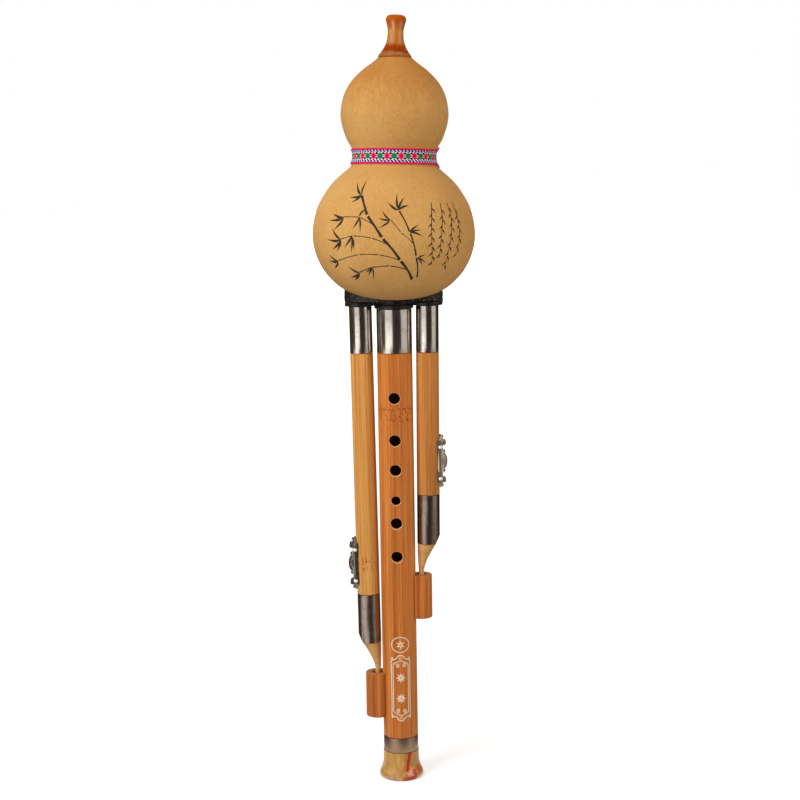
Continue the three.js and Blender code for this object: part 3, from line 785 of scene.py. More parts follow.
    def shade(
        self,
        colour: Wire | Sequence[float],
        roughness: Wire | float,
        normal: Optional[Wire] = None,
        **more: Socket,
    ) -> bpy.types.Material:
        """Close the sheet with its shader.

        Args:
            colour: Its base colour.
            roughness: Its roughness.
            normal: Its normal, where it isn't smooth.
            more: Its other inputs, with an underscore for each space of their names.

        Returns:
            The finished material.
        """
        sockets = {"Base Color": colour, "Roughness": roughness}
        sockets |= {name.replace("_", " "): value for name, value in more.items()}
        if normal is not None:
            sockets["Normal"] = normal
        return self.close(self.node("ShaderNodeBsdfPrincipled", {}, sockets))

    def close(self, shader: Wire) -> bpy.types.Material | bpy.types.World:
        """Link a shader to the sheet's output."""
        self.tree.links.new(shader.socket, self.output.inputs["Surface"])
        return self.holder

    def math(self, operation: str, *values: Socket) -> Wire:
        """A Math node for what has no operator."""
        return self.node("ShaderNodeMath", {"operation": operation}, dict(enumerate(values)))


# Finishes


@dataclass(frozen=True)
class GourdSkin:
    """Dry, lightly polished gourd skin with pores and cloudy patches."""

    frame_of: Matrix
    top: float

    def material(self) -> bpy.types.Material:
        """The gourd's material."""
        sheet = Sheet("gourd_skin")
        place = sheet.where(self.frame_of)
        height = sheet.split(place)[2]
        clouds = sheet.noise(place, 26, 4, 0.55)
        mottle = sheet.noise(place, 1200, 3, 0.6, 0.45)
        grain = sheet.noise(place, 2600, 2, 0.6)
        pores = sheet.fall(sheet.cells(place, 900), 0.05, 0.24)
        tone = clouds * 0.4 + mottle * 0.45 + grain * 0.15
        colour = sheet.ramp(tone, [(0.32, "bd8545"), (0.5, "cd9a55"), (0.68, "dcac68")])
        threads = sheet.noise(place, 420, 3, 0.6, 0.12)
        crown = sheet.step(height + (threads - 0.5) * (24 * MM), self.top - 34 * MM, self.top - 4 * MM) * 0.85
        colour = sheet.mix(crown, colour, sheet.ramp(tone, [(0.35, "a8651a"), (0.65, "bf7d2a")]))
        scuffs = sheet.step(sheet.noise(place, 95, 5, 0.65), 0.62, 0.74) * 0.3
        colour = sheet.mix(scuffs, colour, "bf8843")
        spots = sheet.step(sheet.noise(place, 420, 2, 0.5), 0.72, 0.8) * 0.5
        colour = sheet.mix(spots, colour, "9c6730")
        colour = sheet.mix(pores * 0.25, colour, "a8743a")
        rise = clouds * 0.6 + grain * 0.25 - pores * 0.35
        return sheet.shade(
            colour, 0.46 + grain * 0.16, sheet.bump(rise, 0.1 * MM, 0.6), Specular_IOR_Level=0.3,
            Coat_Weight=0.05, Coat_Roughness=0.3,
        )


@dataclass(frozen=True)
class BurntLine:
    """Lines burnt into the gourd: near black, brown where the point ran light."""

    def material(self) -> bpy.types.Material:
        """The drawing's material."""
        sheet = Sheet("burnt_line")
        place = sheet.where()
        dots = sheet.noise(place, 1900, 2, 0.6)
        colour = sheet.ramp(dots, [(0.42, "1d1611"), (0.58, "3a2d20"), (0.74, "6e5433")])
        return sheet.shade(colour, 0.7, sheet.bump(dots, 0.08 * MM, 0.7))


@dataclass(frozen=True)
class Bamboo:
    """Sanded and oiled bamboo with its fibres, flecks and, where one is given, a knot."""

    name: str
    frame_of: Matrix
    deep: str
    middle: str
    pale: str
    knot: Optional[float] = None
    knot_line: float = 1.0
    skin_radius: float = 0.0

    def material(self) -> bpy.types.Material:
        """The bamboo's material."""
        sheet = Sheet(self.name)
        place = sheet.where(self.frame_of)
        east, north, height = sheet.split(place)
        marks = None
        if self.knot is not None:
            below = height - self.knot + 2.5 * MM
            near = sheet.fall(abs(below), 1.0 * MM, 7.0 * MM)
            swirl = (sheet.noise(place, 420, 3, 0.6) - 0.5) * near * (4.2 * MM)
            wave = sheet.noise(place, 230, 1, 0.5) * (8.0 * MM)
            line = abs(height - self.knot - wave + 2.6 * MM)
            dots = sheet.noise(place, 1100, 2, 0.6, 0.7)
            ring = sheet.fall(line, 0.3 * MM, 1.2 * MM) * sheet.step(dots, 0.44, 0.58) * self.knot_line
            sockets = {"X": east + swirl, "Y": north + swirl, "Z": height + swirl * 3}
            place = sheet.node("ShaderNodeCombineXYZ", {}, sockets)
            smears = sheet.noise(place, 800, 2, 0.6, 0.3)
            marks = sheet.step(smears, 0.52, 0.64) * sheet.fall(abs(below), 2.5 * MM, 6.0 * MM) * 0.8 + ring
            pales = sheet.fall(smears, 0.34, 0.46) * near
        bands = sheet.noise(place, 300, 3, 0.6, 0.012)
        fibres = sheet.noise(place, 1500, 4, 0.65, 0.01)
        hairs = sheet.noise(place, 4200, 2, 0.6, 0.02)
        flecks = sheet.step(sheet.noise(place, 2300, 2, 0.5, 0.05), 0.66, 0.76)
        tone = bands * 0.5 + fibres * 0.35 + hairs * 0.15
        colour = sheet.ramp(tone, [(0.39, self.deep), (0.5, self.middle), (0.61, self.pale)])
        slow = sheet.noise(place, 60, 2, 0.5, 0.25)
        colour = sheet.mix(sheet.step(slow, 0.45, 0.75) * 0.25, colour, self.deep)
        colour = sheet.mix(flecks * 0.5, colour, "8f4414")
        if marks is not None:
            colour = sheet.mix(pales * 0.5, colour, self.pale)
            colour = sheet.mix(sheet.step(marks, 0, 1) * 0.85, colour, "962c06")
        # Painted shade: towards the bore, inside its skin, the bamboo darkens to brown.
        if self.skin_radius:
            reach = (east * east + north * north) ** 0.5
            inside = sheet.fall(reach, self.skin_radius - 2.2 * MM, self.skin_radius - 0.7 * MM)
            colour = sheet.mix(inside, colour, "6a4023")
        relief = fibres * 0.6 + hairs * 0.4
        return sheet.shade(
            colour, 0.4 + fibres * 0.2, sheet.bump(relief, 0.04 * MM, 0.5), Specular_IOR_Level=0.25,
            Coat_Weight=0.06, Coat_Roughness=0.2,
        )


@dataclass(frozen=True)
class CutBamboo:
    """The bare, fibrous face of cut bamboo."""

    name: str
    deep: str
    pale: str

    def material(self) -> bpy.types.Material:
        """The cut face's material."""
        sheet = Sheet(self.name)
        place = sheet.where()
        fibres = sheet.noise(place, 2200, 4, 0.7, 0.09)
        patches = sheet.noise(place, 300, 3, 0.6)
        tone = fibres * 0.6 + patches * 0.4
        colour = sheet.ramp(tone, [(0.35, self.deep), (0.65, self.pale)])
        strands = sheet.step(fibres, 0.6, 0.72) * 0.4
        colour = sheet.mix(strands, colour, self.deep)
        return sheet.shade(colour, 0.75, sheet.bump(fibres, 0.1 * MM, 0.7), Specular_IOR_Level=0.25)


@dataclass(frozen=True)
class Metal:
    """A turned metal, with fine marks of use that run round it or along it."""

    name: str
    colour: str
    worn: str
    roughness: float
    marks: float
    stretch: tuple[float, float, float] = (1, 1, 1)

    def material(self) -> bpy.types.Material:
        """The metal's material."""
        sheet = Sheet(self.name)
        place = sheet.where()
        lines = sheet.noise(sheet.scaled(place, self.stretch), 2600, 3, 0.7)
        stains = sheet.noise(place, 180, 4, 0.6)
        colour = sheet.mix(sheet.step(stains, 0.42, 0.72) * 0.7, self.colour, self.worn)
        roughness = self.roughness + (lines - 0.5) * self.marks + (stains - 0.5) * self.marks
        return sheet.shade(colour, roughness, sheet.bump(lines, 0.01 * MM, 0.35), Metallic=1.0)


@dataclass(frozen=True)
class AgedNickel:
    """Cast nickel, bright on what is touched, with tarnish and painted shade darkening its hollows."""

    name: str
    clean: str
    metallic: float = 0.85
    roughness: float = 0.16
    # Hollow level above which neither tarnish nor painted shade darkens the nickel.
    bare: float = 0.78

    def material(self) -> bpy.types.Material:
        """The keys' material."""
        sheet = Sheet(self.name)
        place = sheet.where()
        cast = sheet.noise(place, 420, 3, 0.55)
        hollows = sheet.node("ShaderNodeAmbientOcclusion", {"samples": 6}, {"Distance": 0.8 * MM}, "AO")
        # Tarnish and painted shade: ambient occlusion darkens the hollows towards dark brown.
        tarnish_and_shade = sheet.fall(hollows + (cast - 0.5) * 0.3, 0.35, self.bare)
        colour = sheet.mix(tarnish_and_shade, self.clean, "3c2715")
        return sheet.shade(
            colour, self.roughness + tarnish_and_shade * 0.25 + cast * 0.08, sheet.bump(cast, 0.03 * MM, 0.4),
            Metallic=self.metallic,
        )


@dataclass(frozen=True)
class AmberResin:
    """Cast amber-coloured resin, lighter where it is thin."""

    frame_of: Matrix
    height: float

    def material(self) -> bpy.types.Material:
        """The mouthpiece's material."""
        sheet = Sheet("amber_resin")
        place = sheet.where(self.frame_of)
        up = sheet.split(place)[2] / self.height
        flow = sheet.noise(sheet.scaled(sheet.bent(place, 160, 3 * MM), (1, 1, 0.35)), 230, 3, 0.5)
        level = up + (flow - 0.5) * 0.16
        stops = [
            (0.0, "98561e"), (0.1, "9c5a22"), (0.16, "8c3000"), (0.27, "983c00"),
            (0.36, "ba6a14"), (0.6, "c47c24"), (0.8, "b85c08"), (1.0, "b05006"),
        ]
        colour = sheet.ramp(level, stops)
        wisps = sheet.step(flow, 0.6, 0.78) * 0.25
        colour = sheet.mix(wisps, colour, "d6904a")
        neck = sheet.fall(abs(up - 0.58), 0.2, 0.34)
        rim = sheet.fall(abs(up - 0.07), 0.02, 0.06)
        return sheet.shade(
            colour, 0.3, sheet.bump(flow, 0.08 * MM, 0.1), Specular_IOR_Level=0.05, Subsurface_Weight=0.05,
            Subsurface_Radius=(1.5, 0.6, 0.2), Subsurface_Scale=1 * MM,
            Coat_Weight=neck * 0.95 + rim * 0.45, Coat_IOR=1.88, Coat_Roughness=0.1,
        )


@dataclass(frozen=True)
class HornResin:
    """Honey-coloured resin with drawn streaks and a red swirl at the front right."""

    height: float

    def material(self) -> bpy.types.Material:
        """The bell's material."""
        sheet = Sheet("horn_resin")
        place = sheet.bent(sheet.where(), 240, 1.5 * MM)
        east, north, up = sheet.split(place)
        turn = sheet.math("ARCTAN2", east, 0 - north)
        streaks = sheet.noise(place, 420, 4, 0.6, 0.14)
        clouds = sheet.noise(place, 150, 3, 0.5)
        tone = streaks * 0.45 + clouds * 0.55
        colour = sheet.ramp(tone, [(0.36, "aa7832"), (0.5, "bb8e48"), (0.64, "caa25e")])
        drift = sheet.noise(sheet.bent(place, 300, 3 * MM), 380, 3, 0.6) - 0.5
        level = up / self.height
        across, rise = turn + drift * 0.4, level + drift * 0.22
        flush = sheet.fall(abs(turn - 0.45), 0.15, 0.6) * sheet.step(clouds, 0.35, 0.6)
        colour = sheet.mix(flush * 0.45, colour, "b9714a")
        swirl = sheet.fall(abs(across - 0.42), 0.14, 0.4) * sheet.fall(abs(rise - 0.32), 0.08, 0.26)
        curls = sheet.ramp(drift + 0.5, [(0.4, "a83a22"), (0.48, "cd8664"), (0.56, "dfb096"), (0.64, "b8553a")])
        colour = sheet.mix(swirl * 0.75, colour, curls)
        aside = abs(turn - 0.18 - level * 0.33 + drift * 0.08) / (0.4 + level * 0.6)
        streak = sheet.fall(aside, 0.08, 0.18) * sheet.step(level, 0.24, 0.4)
        thread = sheet.fall(abs(turn - 0.02 - level * 0.28), 0.02, 0.09) * sheet.step(level, 0.25, 0.5) * 0.5
        pool = sheet.fall(abs(across - 0.4), 0.26, 0.38) * sheet.fall(rise, 0.1, 0.2)
        bank = sheet.fall(abs(across - 0.68), 0.04, 0.15) * sheet.fall(abs(rise - 0.24), 0.08, 0.22)
        edge = sheet.fall(abs(turn - 1.25), 0.3, 0.6) * sheet.fall(abs(rise - 0.34), 0.1, 0.26) * 0.6
        red = sheet.step(streak + thread + pool + bank + edge, 0.1, 1.0)
        colour = sheet.mix(red * 0.93, colour, sheet.ramp(clouds, [(0.4, "961c04"), (0.6, "bc3006")]))
        return sheet.shade(
            colour, 0.32 + streaks * 0.1, sheet.bump(streaks, 0.05 * MM, 0.3), Specular_IOR_Level=0.2,
            Subsurface_Weight=0.08, Subsurface_Radius=(1.5, 0.8, 0.3), Subsurface_Scale=1 * MM,
            Coat_Weight=0.08 + sheet.fall(level, 0.2, 0.5) * (1 - red * 0.8) * 0.9, Coat_IOR=1.7,
            Coat_Roughness=0.12,
        )


@dataclass(frozen=True)
class BlackResin:
    """Turned black resin, rubbed grey in places."""

    name: str = "black_resin"
    lumps: float = 0.0

    def material(self) -> bpy.types.Material:
        """The collars' material, or the sealant's where it has lumps."""
        sheet = Sheet(self.name)
        place = sheet.where()
        dust = sheet.noise(place, 700, 4, 0.65)
        lumps = sheet.noise(sheet.bent(place, 400, 1.5 * MM), 520, 4, 0.6)
        specks = sheet.step(sheet.noise(place, 1300, 2, 0.5), 0.64, 0.72) * self.lumps
        colour = sheet.ramp(dust, [(0.45, "16120f"), (0.62, "241e1a"), (0.75, "42382f")])
        colour = sheet.mix(specks, colour, "a09a88")
        rise = lumps * self.lumps + dust * 0.2
        return sheet.shade(
            colour, 0.24 + dust * 0.2, sheet.bump(rise, 0.4 * MM, 0.6), Specular_IOR_Level=0.3
        )


@dataclass(frozen=True)
class WovenRibbon:
    """A woven band with eight-rayed flowers, pink and green in turn, on a pale ground."""

    width_in_flowers: float
    threads: int = 11

    def material(self) -> bpy.types.Material:
        """The ribbon's material, drawn on the weave map."""
        sheet = Sheet("woven_ribbon")
        place = sheet.node("ShaderNodeUVMap", {"uv_map": "weave"}, {})
        along, across, _ = sheet.split(place)
        count = self.threads
        wave = (sheet.noise(sheet.scaled(place, (1, 1, 0)), 9, 2, 0.5) - 0.5) * 0.09
        stitch_along = ((along * count) // 1 + 0.5) / count
        up = (across - 0.5) * self.width_in_flowers + wave
        stitch_up = ((up * count) // 1 + 0.5) / count
        flower = stitch_along % 1 - 0.5
        reach = (flower * flower + stitch_up * stitch_up) ** 0.5
        angle = sheet.math("ARCTAN2", stitch_up, flower)
        rays = sheet.math("COSINE", angle * 8)
        odd = ((stitch_along // 1) % 2) > 0.5
        petals = reach < (0.46 + rays * 0.08 - odd * 0.05)
        core = reach < 0.05
        petal_colour = sheet.mix(odd, "e6125c", "0b8048")
        grain = sheet.noise(sheet.scaled(place, (1, 3, 0)), 40, 2, 0.6)
        ground = sheet.ramp(grain, [(0.3, "cfc9cb"), (0.5, "f2eeec"), (0.7, "fdfaf7")])
        level = abs(stitch_up)
        squares = ((stitch_along * 2 + 0.25) % 1) < 0.45
        colour = sheet.mix((level > 0.42) * (level < 0.58) * squares, ground, "141218")
        gaps = (abs(flower) > 0.34) * (level > 0.22) * (level < 0.42)
        colour = sheet.mix(gaps, colour, "1a1820")
        colour = sheet.mix(petals, colour, petal_colour)
        colour = sheet.mix(core, colour, "6a1032")
        dash = ((stitch_along * 2 + stitch_up * 1.6) % 1) < 0.66
        colour = sheet.mix((level > 0.58) * (level < 0.78) * dash, colour, "24128a")
        colour = sheet.mix(level > 0.78, colour, "e0175e")
        yarn = sheet.math("SINE", along * (count * math.tau))
        pick = sheet.math("SINE", up * (count * math.tau))
        weave = yarn * 0.5 + pick * 0.5
        shade = sheet.step(weave + (grain - 0.5), -1.2, 0.4)
        colour = sheet.mix((1 - shade) * 0.12, colour, "33262c")
        return sheet.shade(colour, 0.9, sheet.bump(weave, 0.05 * MM, 0.6), Specular_IOR_Level=0.15)


@dataclass(frozen=True)
class Yarn:
    """Dyed cotton thread."""

    name: str
    deep: str
    pale: str

    def material(self) -> bpy.types.Material:
        """The thread's material."""
        sheet = Sheet(self.name)
        fluff = sheet.noise(sheet.where(), 3200, 3, 0.6)
        colour = sheet.ramp(fluff, [(0.35, self.deep), (0.65, self.pale)])
        return sheet.shade(colour, 0.9, sheet.bump(fluff, 0.06 * MM, 0.7), Specular_IOR_Level=0.2)


@dataclass(frozen=True)
class Grained:
    """A dull natural material with grains or pores of one size."""

    name: str
    deep: str
    pale: str
    scale: float

    def material(self) -> bpy.types.Material:
        """The material of cork, leather or dry paint."""
        sheet = Sheet(self.name)
        place = sheet.where()
        grains = sheet.cells(place, self.scale)
        dust = sheet.noise(place, self.scale * 2.2, 3, 0.6)
        colour = sheet.ramp(grains * 0.6 + dust * 0.5, [(0.3, self.deep), (0.65, self.pale)])
        return sheet.shade(colour, 0.8, sheet.bump(grains, 0.1 * MM, 0.5))


# The gourd and what it carries


@dataclass(frozen=True)
class GourdShape:
    """The gourd's outline in its own leaning frame, whose origin is on the finger-hole pipe's axis."""

    pivot: float = 288.0 * MM
    lean: float = 1.3
    base: float = -6.5 * MM
    lower: float = 30.3 * MM
    waist: float = 74.5 * MM
    upper: float = 98.7 * MM
    top: float = 128.7 * MM
    lower_radius: float = 46.0 * MM
    waist_radius: float = 22.9 * MM
    upper_radius: float = 30.3 * MM
    top_radius: float = 9.7 * MM
    basin_shares: Points = ((0, 0), (0.035, 0.33), (0.171, 0.62), (0.386, 0.817), (0.6, 0.925), (0.8, 0.98))
    shoulder_shares: Points = (
        (0, 1), (0.19, 0.964), (0.38, 0.856), (0.57, 0.642), (0.7, 0.44), (0.81, 0.2), (0.885, 0.06),
    )
    neck_shares: Points = ((0, 0), (0.2, 0.18), (0.37, 0.51), (0.6, 0.79), (0.8, 0.95))
    crown_shares: Points = (
        (0, 1), (0.23, 0.948), (0.413, 0.852), (0.6, 0.675), (0.78, 0.41), (0.91, 0.155), (1, 0),
    )

    def matrix(self) -> Matrix:
        """The gourd's frame in the frame of the part."""
        return shifted(0, 0, self.pivot) @ turned(self.lean, "Y")

    def outline(self, offset: float, steps: int) -> list[Vector]:
        """(radius, height) points at a distance from the skin, outwards where it is positive.

        Args:
            offset: The distance.
            steps: Number of steps from the base to the top.

        Returns:
            The points, from the base up.
        """
        bulb, bud = (self.waist_radius, self.lower_radius), (self.waist_radius, self.upper_radius)
        corners = [
            *stretch(self.basin_shares, (self.base, self.lower), (0, self.lower_radius)),
            *stretch(self.shoulder_shares, (self.lower, self.waist), bulb),
            *stretch(self.neck_shares, (self.waist, self.upper), bud),
            *stretch(self.crown_shares, (self.upper, self.top), (self.top_radius, self.upper_radius)),
        ]
        line = smooth_line(corners, steps)
        moved = []
        for index, point in enumerate(line):
            along = (line[min(index + 1, steps)] - line[max(index - 1, 0)]).normalized()
            if index == 0:
                along = Vector((1, 0))
            moved.append(point + Vector((along.y, -along.x)) * offset)
        return moved

    @cached_property
    def skin_line(self) -> list[Vector]:
        """The skin's outline in fine steps."""
        return self.outline(0, 300)

    def radius_at(self, height: float) -> float:
        """The gourd's radius at a height.

        Args:
            height: The height in the gourd's frame.

        Returns:
            The radius.
        """
        line = self.skin_line
        for low, high in zip(line, line[1:]):
            if low.y <= height <= high.y:
                return low.x + (high.x - low.x) * (height - low.y) / (high.y - low.y)
        return line[-1].x


@dataclass(frozen=True)
class GourdCanvas:
    """The front of the gourd's lower bulb."""

    shape: GourdShape

    def place(self, across: float, up: float, lift: float) -> Vector:
        """The point above a place on the gourd's front.

        Args:
            across: Distance round the widest circle from the gourd's middle.
            up: Height in the gourd's frame.
            lift: Distance off the skin.

        Returns:
            The point in the frame of the part.
        """
        shape = self.shape
        angle = across / shape.lower_radius
        slope = (shape.radius_at(up + MM) - shape.radius_at(up - MM)) / (2 * MM)
        rise = Vector((1, -slope)).normalized() * lift
        reach = shape.radius_at(up) + rise.x
        return shape.matrix() @ Vector((reach * math.sin(angle), -reach * math.cos(angle), up + rise.y))


@dataclass
class Gourd:
    """The hollow gourd with the drawing on its front."""

    shape: GourdShape
    wall: float = 4.0 * MM
    top_hole: float = 5.3 * MM
    main_bore: float = 10.0 * MM
    drone_bore: float = 7.2 * MM
    bore_span: tuple[float, float] = (-11 * MM, 37 * MM)
    sides: int = 160
    line_lift: float = 0.03 * MM
    line_depth: float = 0.06 * MM

    def build(self, drones: Sequence["DroneFrame"], seat: float) -> None:
        """Build the shell and its drawing.

        Args:
            drones: The frames of the two drones, whose collars stand in the shell.
            seat: Height of the finger-hole pipe's collar.
        """
        outer = self.shape.outline(0, 110)
        inner = self.shape.outline(-self.wall, 60)
        inner = [point for point in inner if point.x > 0 or point is inner[0]]
        rim = [(self.top_hole, outer[-1].y), (self.top_hole, inner[-1].y)]
        shell = mark(lathe([*outer, *rim, *reversed(inner)], self.sides), Layer.SKIN)
        cutters = [move(rod(self.main_bore, *self.bore_span, 72), shifted(0, 0, seat))]
        cutters += [move(rod(self.drone_bore, *self.bore_span, 60), drone.matrix()) for drone in drones]
        cutters = [mark(cutter, Layer.CUT) for cutter in cutters]
        shell = carve(move(shell, self.shape.matrix()), cutters)
        skin = GourdSkin(self.shape.matrix(), self.shape.top).material()
        flesh = CutBamboo("gourd_flesh", "a9824e", "d9bd8c").material()
        add_piece("gourd_skin", shell, Body.GOURD, [skin, flesh], ["gourd_shell"])
        strokes = [*bamboo_sprig(), *hanging_twigs()]
        drawing = draw(strokes, GourdCanvas(self.shape), self.line_lift, self.line_depth)
        add_piece("gourd_drawing", drawing, Body.GOURD, [BurntLine().material()])


def line_of(points: Iterable[Sequence[float]], widths: tuple[float, float, float], steps: int) -> Stroke:
    """A stroke from points and widths in millimetres."""
    start, middle, end = widths
    return Stroke([(across * MM, up * MM) for across, up in points], (start * MM, middle * MM, end * MM), steps)


def leaf(root: Sequence[float], angle: float, length: float, width: float) -> Stroke:
    """A pointed leaf, in millimetres on the canvas.

    Args:
        root: Where the leaf starts.
        angle: Its direction in degrees, up from the right.
        length: Its length.
        width: Its widest width.

    Returns:
        The leaf as one stroke.
    """
    along = Vector((math.cos(math.radians(angle)), math.sin(math.radians(angle))))
    side = Vector((-along.y, along.x)) * length * 0.07
    bows = ((0, 0), (0.35, 1), (1, -0.6))
    points = [Vector(root) + along * length * share + side * bow for share, bow in bows]
    return line_of(points, (0.12, width, 0.05), 10)


def bamboo_sprig() -> list[Stroke]:
    """Two jointed stems that lean left, with leaves in bunches."""
    strokes = []
    stems = [
        ([(13, 7), (4, 18), (-6, 30), (-15, 42), (-21, 53)], 1.5),
        ([(16, 8), (13, 20), (9, 33), (3, 45)], 0.9),
        ([(-2, 26), (-12, 30), (-23, 31), (-31, 29)], 0.5),
        ([(-11, 37), (-20, 41), (-30, 41)], 0.5),
        ([(11, 27), (4, 33), (-2, 40)], 0.4),
        ([(8, 13), (-2, 15), (-13, 14), (-22, 11)], 0.5),
        ([(4, 18), (-8, 21), (-20, 21), (-36, 17)], 0.45),
    ]
    for points, width in stems:
        for first, second in zip(points, points[1:]):
            start, end = (Vector(first).lerp(Vector(second), share) for share in (0.04, 0.96))
            middle = start.lerp(end, 0.5) + Vector((0.25, 0.2))
            strokes.append(line_of((start, middle, end), (width * 1.15, width * 0.8, width * 1.15), 8))
    bunches = [
        ((-31, 29), (150, 185, 215, 250), 1.0), ((-24, 31), (235, 262, 290), 0.85),
        ((-30, 41), (165, 200, 232), 1.0), ((-21, 53), (100, 140, 185, 225), 0.9),
        ((-20, 41), (245, 275, 60), 0.75), ((3, 45), (60, 105, 150, 20), 0.85),
        ((-2, 40), (185, 220, 130), 0.7), ((-22, 11), (160, 195, 225), 0.85),
        ((-36, 17), (150, 190, 220), 0.8), ((-13, 14), (240, 270, 205), 0.6),
        ((9, 33), (15, 340, 50), 0.7), ((14, 19), (20, 345, 315), 0.55),
    ]
    for order, (root, angles, scale) in enumerate(bunches):
        for index, angle in enumerate(angles):
            length = (11 - 1.6 * abs(index - 1)) * scale
            strokes.append(leaf(root, angle + 7 * ((order + index) % 3 - 1), length, 1.5 * scale))
    return strokes


def hanging_twigs() -> list[Stroke]:
    """Four thin twigs that hang side by side, with small leaves on both sides."""
    strokes = []
    for order, (start, foot) in enumerate(((22.5, 15), (28.5, 19), (34.5, 14), (40.5, 20))):

        def spot(height: float) -> tuple[float, float]:
            """The twig's place at a height."""
            return start + 1.2 * math.sin(height / 7 + order), height

        strokes.append(line_of([spot(height) for height in (49, 40, 31, 22, foot)], (0.55, 0.4, 0.2), 20))
        height = 46.0 - order % 2
        side = 1
        while height > foot:
            strokes.append(leaf(spot(height), 270 + side * 38, 3.4, 0.85))
            height -= 2.6
            side = -side
    return strokes


@dataclass
class Mouthpiece:
    """The turned resin mouthpiece in the gourd's top."""

    shape: GourdShape
    lean: float = 1.4
    seat_lift: float = 0.12 * MM
    height: float = 23.28 * MM
    skirt_radius: float = 9.45 * MM
    waist_radius: float = 4.44 * MM
    lip_radius: float = 5.67 * MM
    tip_radius: float = 4.1 * MM
    blow_bore: float = 2.2 * MM
    tenon_radius: float = 4.8 * MM
    tenon_length: float = 8.0 * MM
    mouth: float = 0.8 * MM
    skirt_shares: Points = (
        (0, 1), (0.045, 0.97), (0.07, 0.9), (0.118, 0.72),
        (0.166, 0.57), (0.262, 0.31), (0.402, 0.08), (0.546, 0),
    )
    lip_shares: Points = ((0.69, 0.11), (0.786, 0.53), (0.878, 1), (0.926, 0.97))
    tip_shares: Points = ((0.974, 0.57), (1, 0))

    def matrix(self) -> Matrix:
        """The mouthpiece's frame in the frame of the part."""
        return self.shape.matrix() @ shifted(0, 0, self.shape.top + self.seat_lift) @ turned(self.lean, "Y")

    def build(self) -> None:
        """Build the mouthpiece with its tenon and blow hole."""
        whole = (0, self.height)
        outline = [
            *stretch(self.skirt_shares, whole, (self.waist_radius, self.skirt_radius)),
            *stretch(self.lip_shares, whole, (self.waist_radius, self.lip_radius)),
            *stretch(self.tip_shares, whole, (self.tip_radius, self.lip_radius)),
        ]
        points = [
            (self.blow_bore, -self.tenon_length),
            (self.tenon_radius, -self.tenon_length),
            (self.tenon_radius, 0),
            *smooth_line(outline, 64),
            (self.blow_bore + self.mouth, self.height),
            (self.blow_bore + self.mouth * 0.3, self.height - self.mouth * 0.3),
            (self.blow_bore, self.height - self.mouth),
        ]
        bm = move(lathe(points, 72, closed=True), self.matrix())
        resin = AmberResin(self.matrix(), self.height).material()
        add_piece("mouthpiece_resin", bm, Body.GOURD, [resin], ["mouthpiece"], 40)


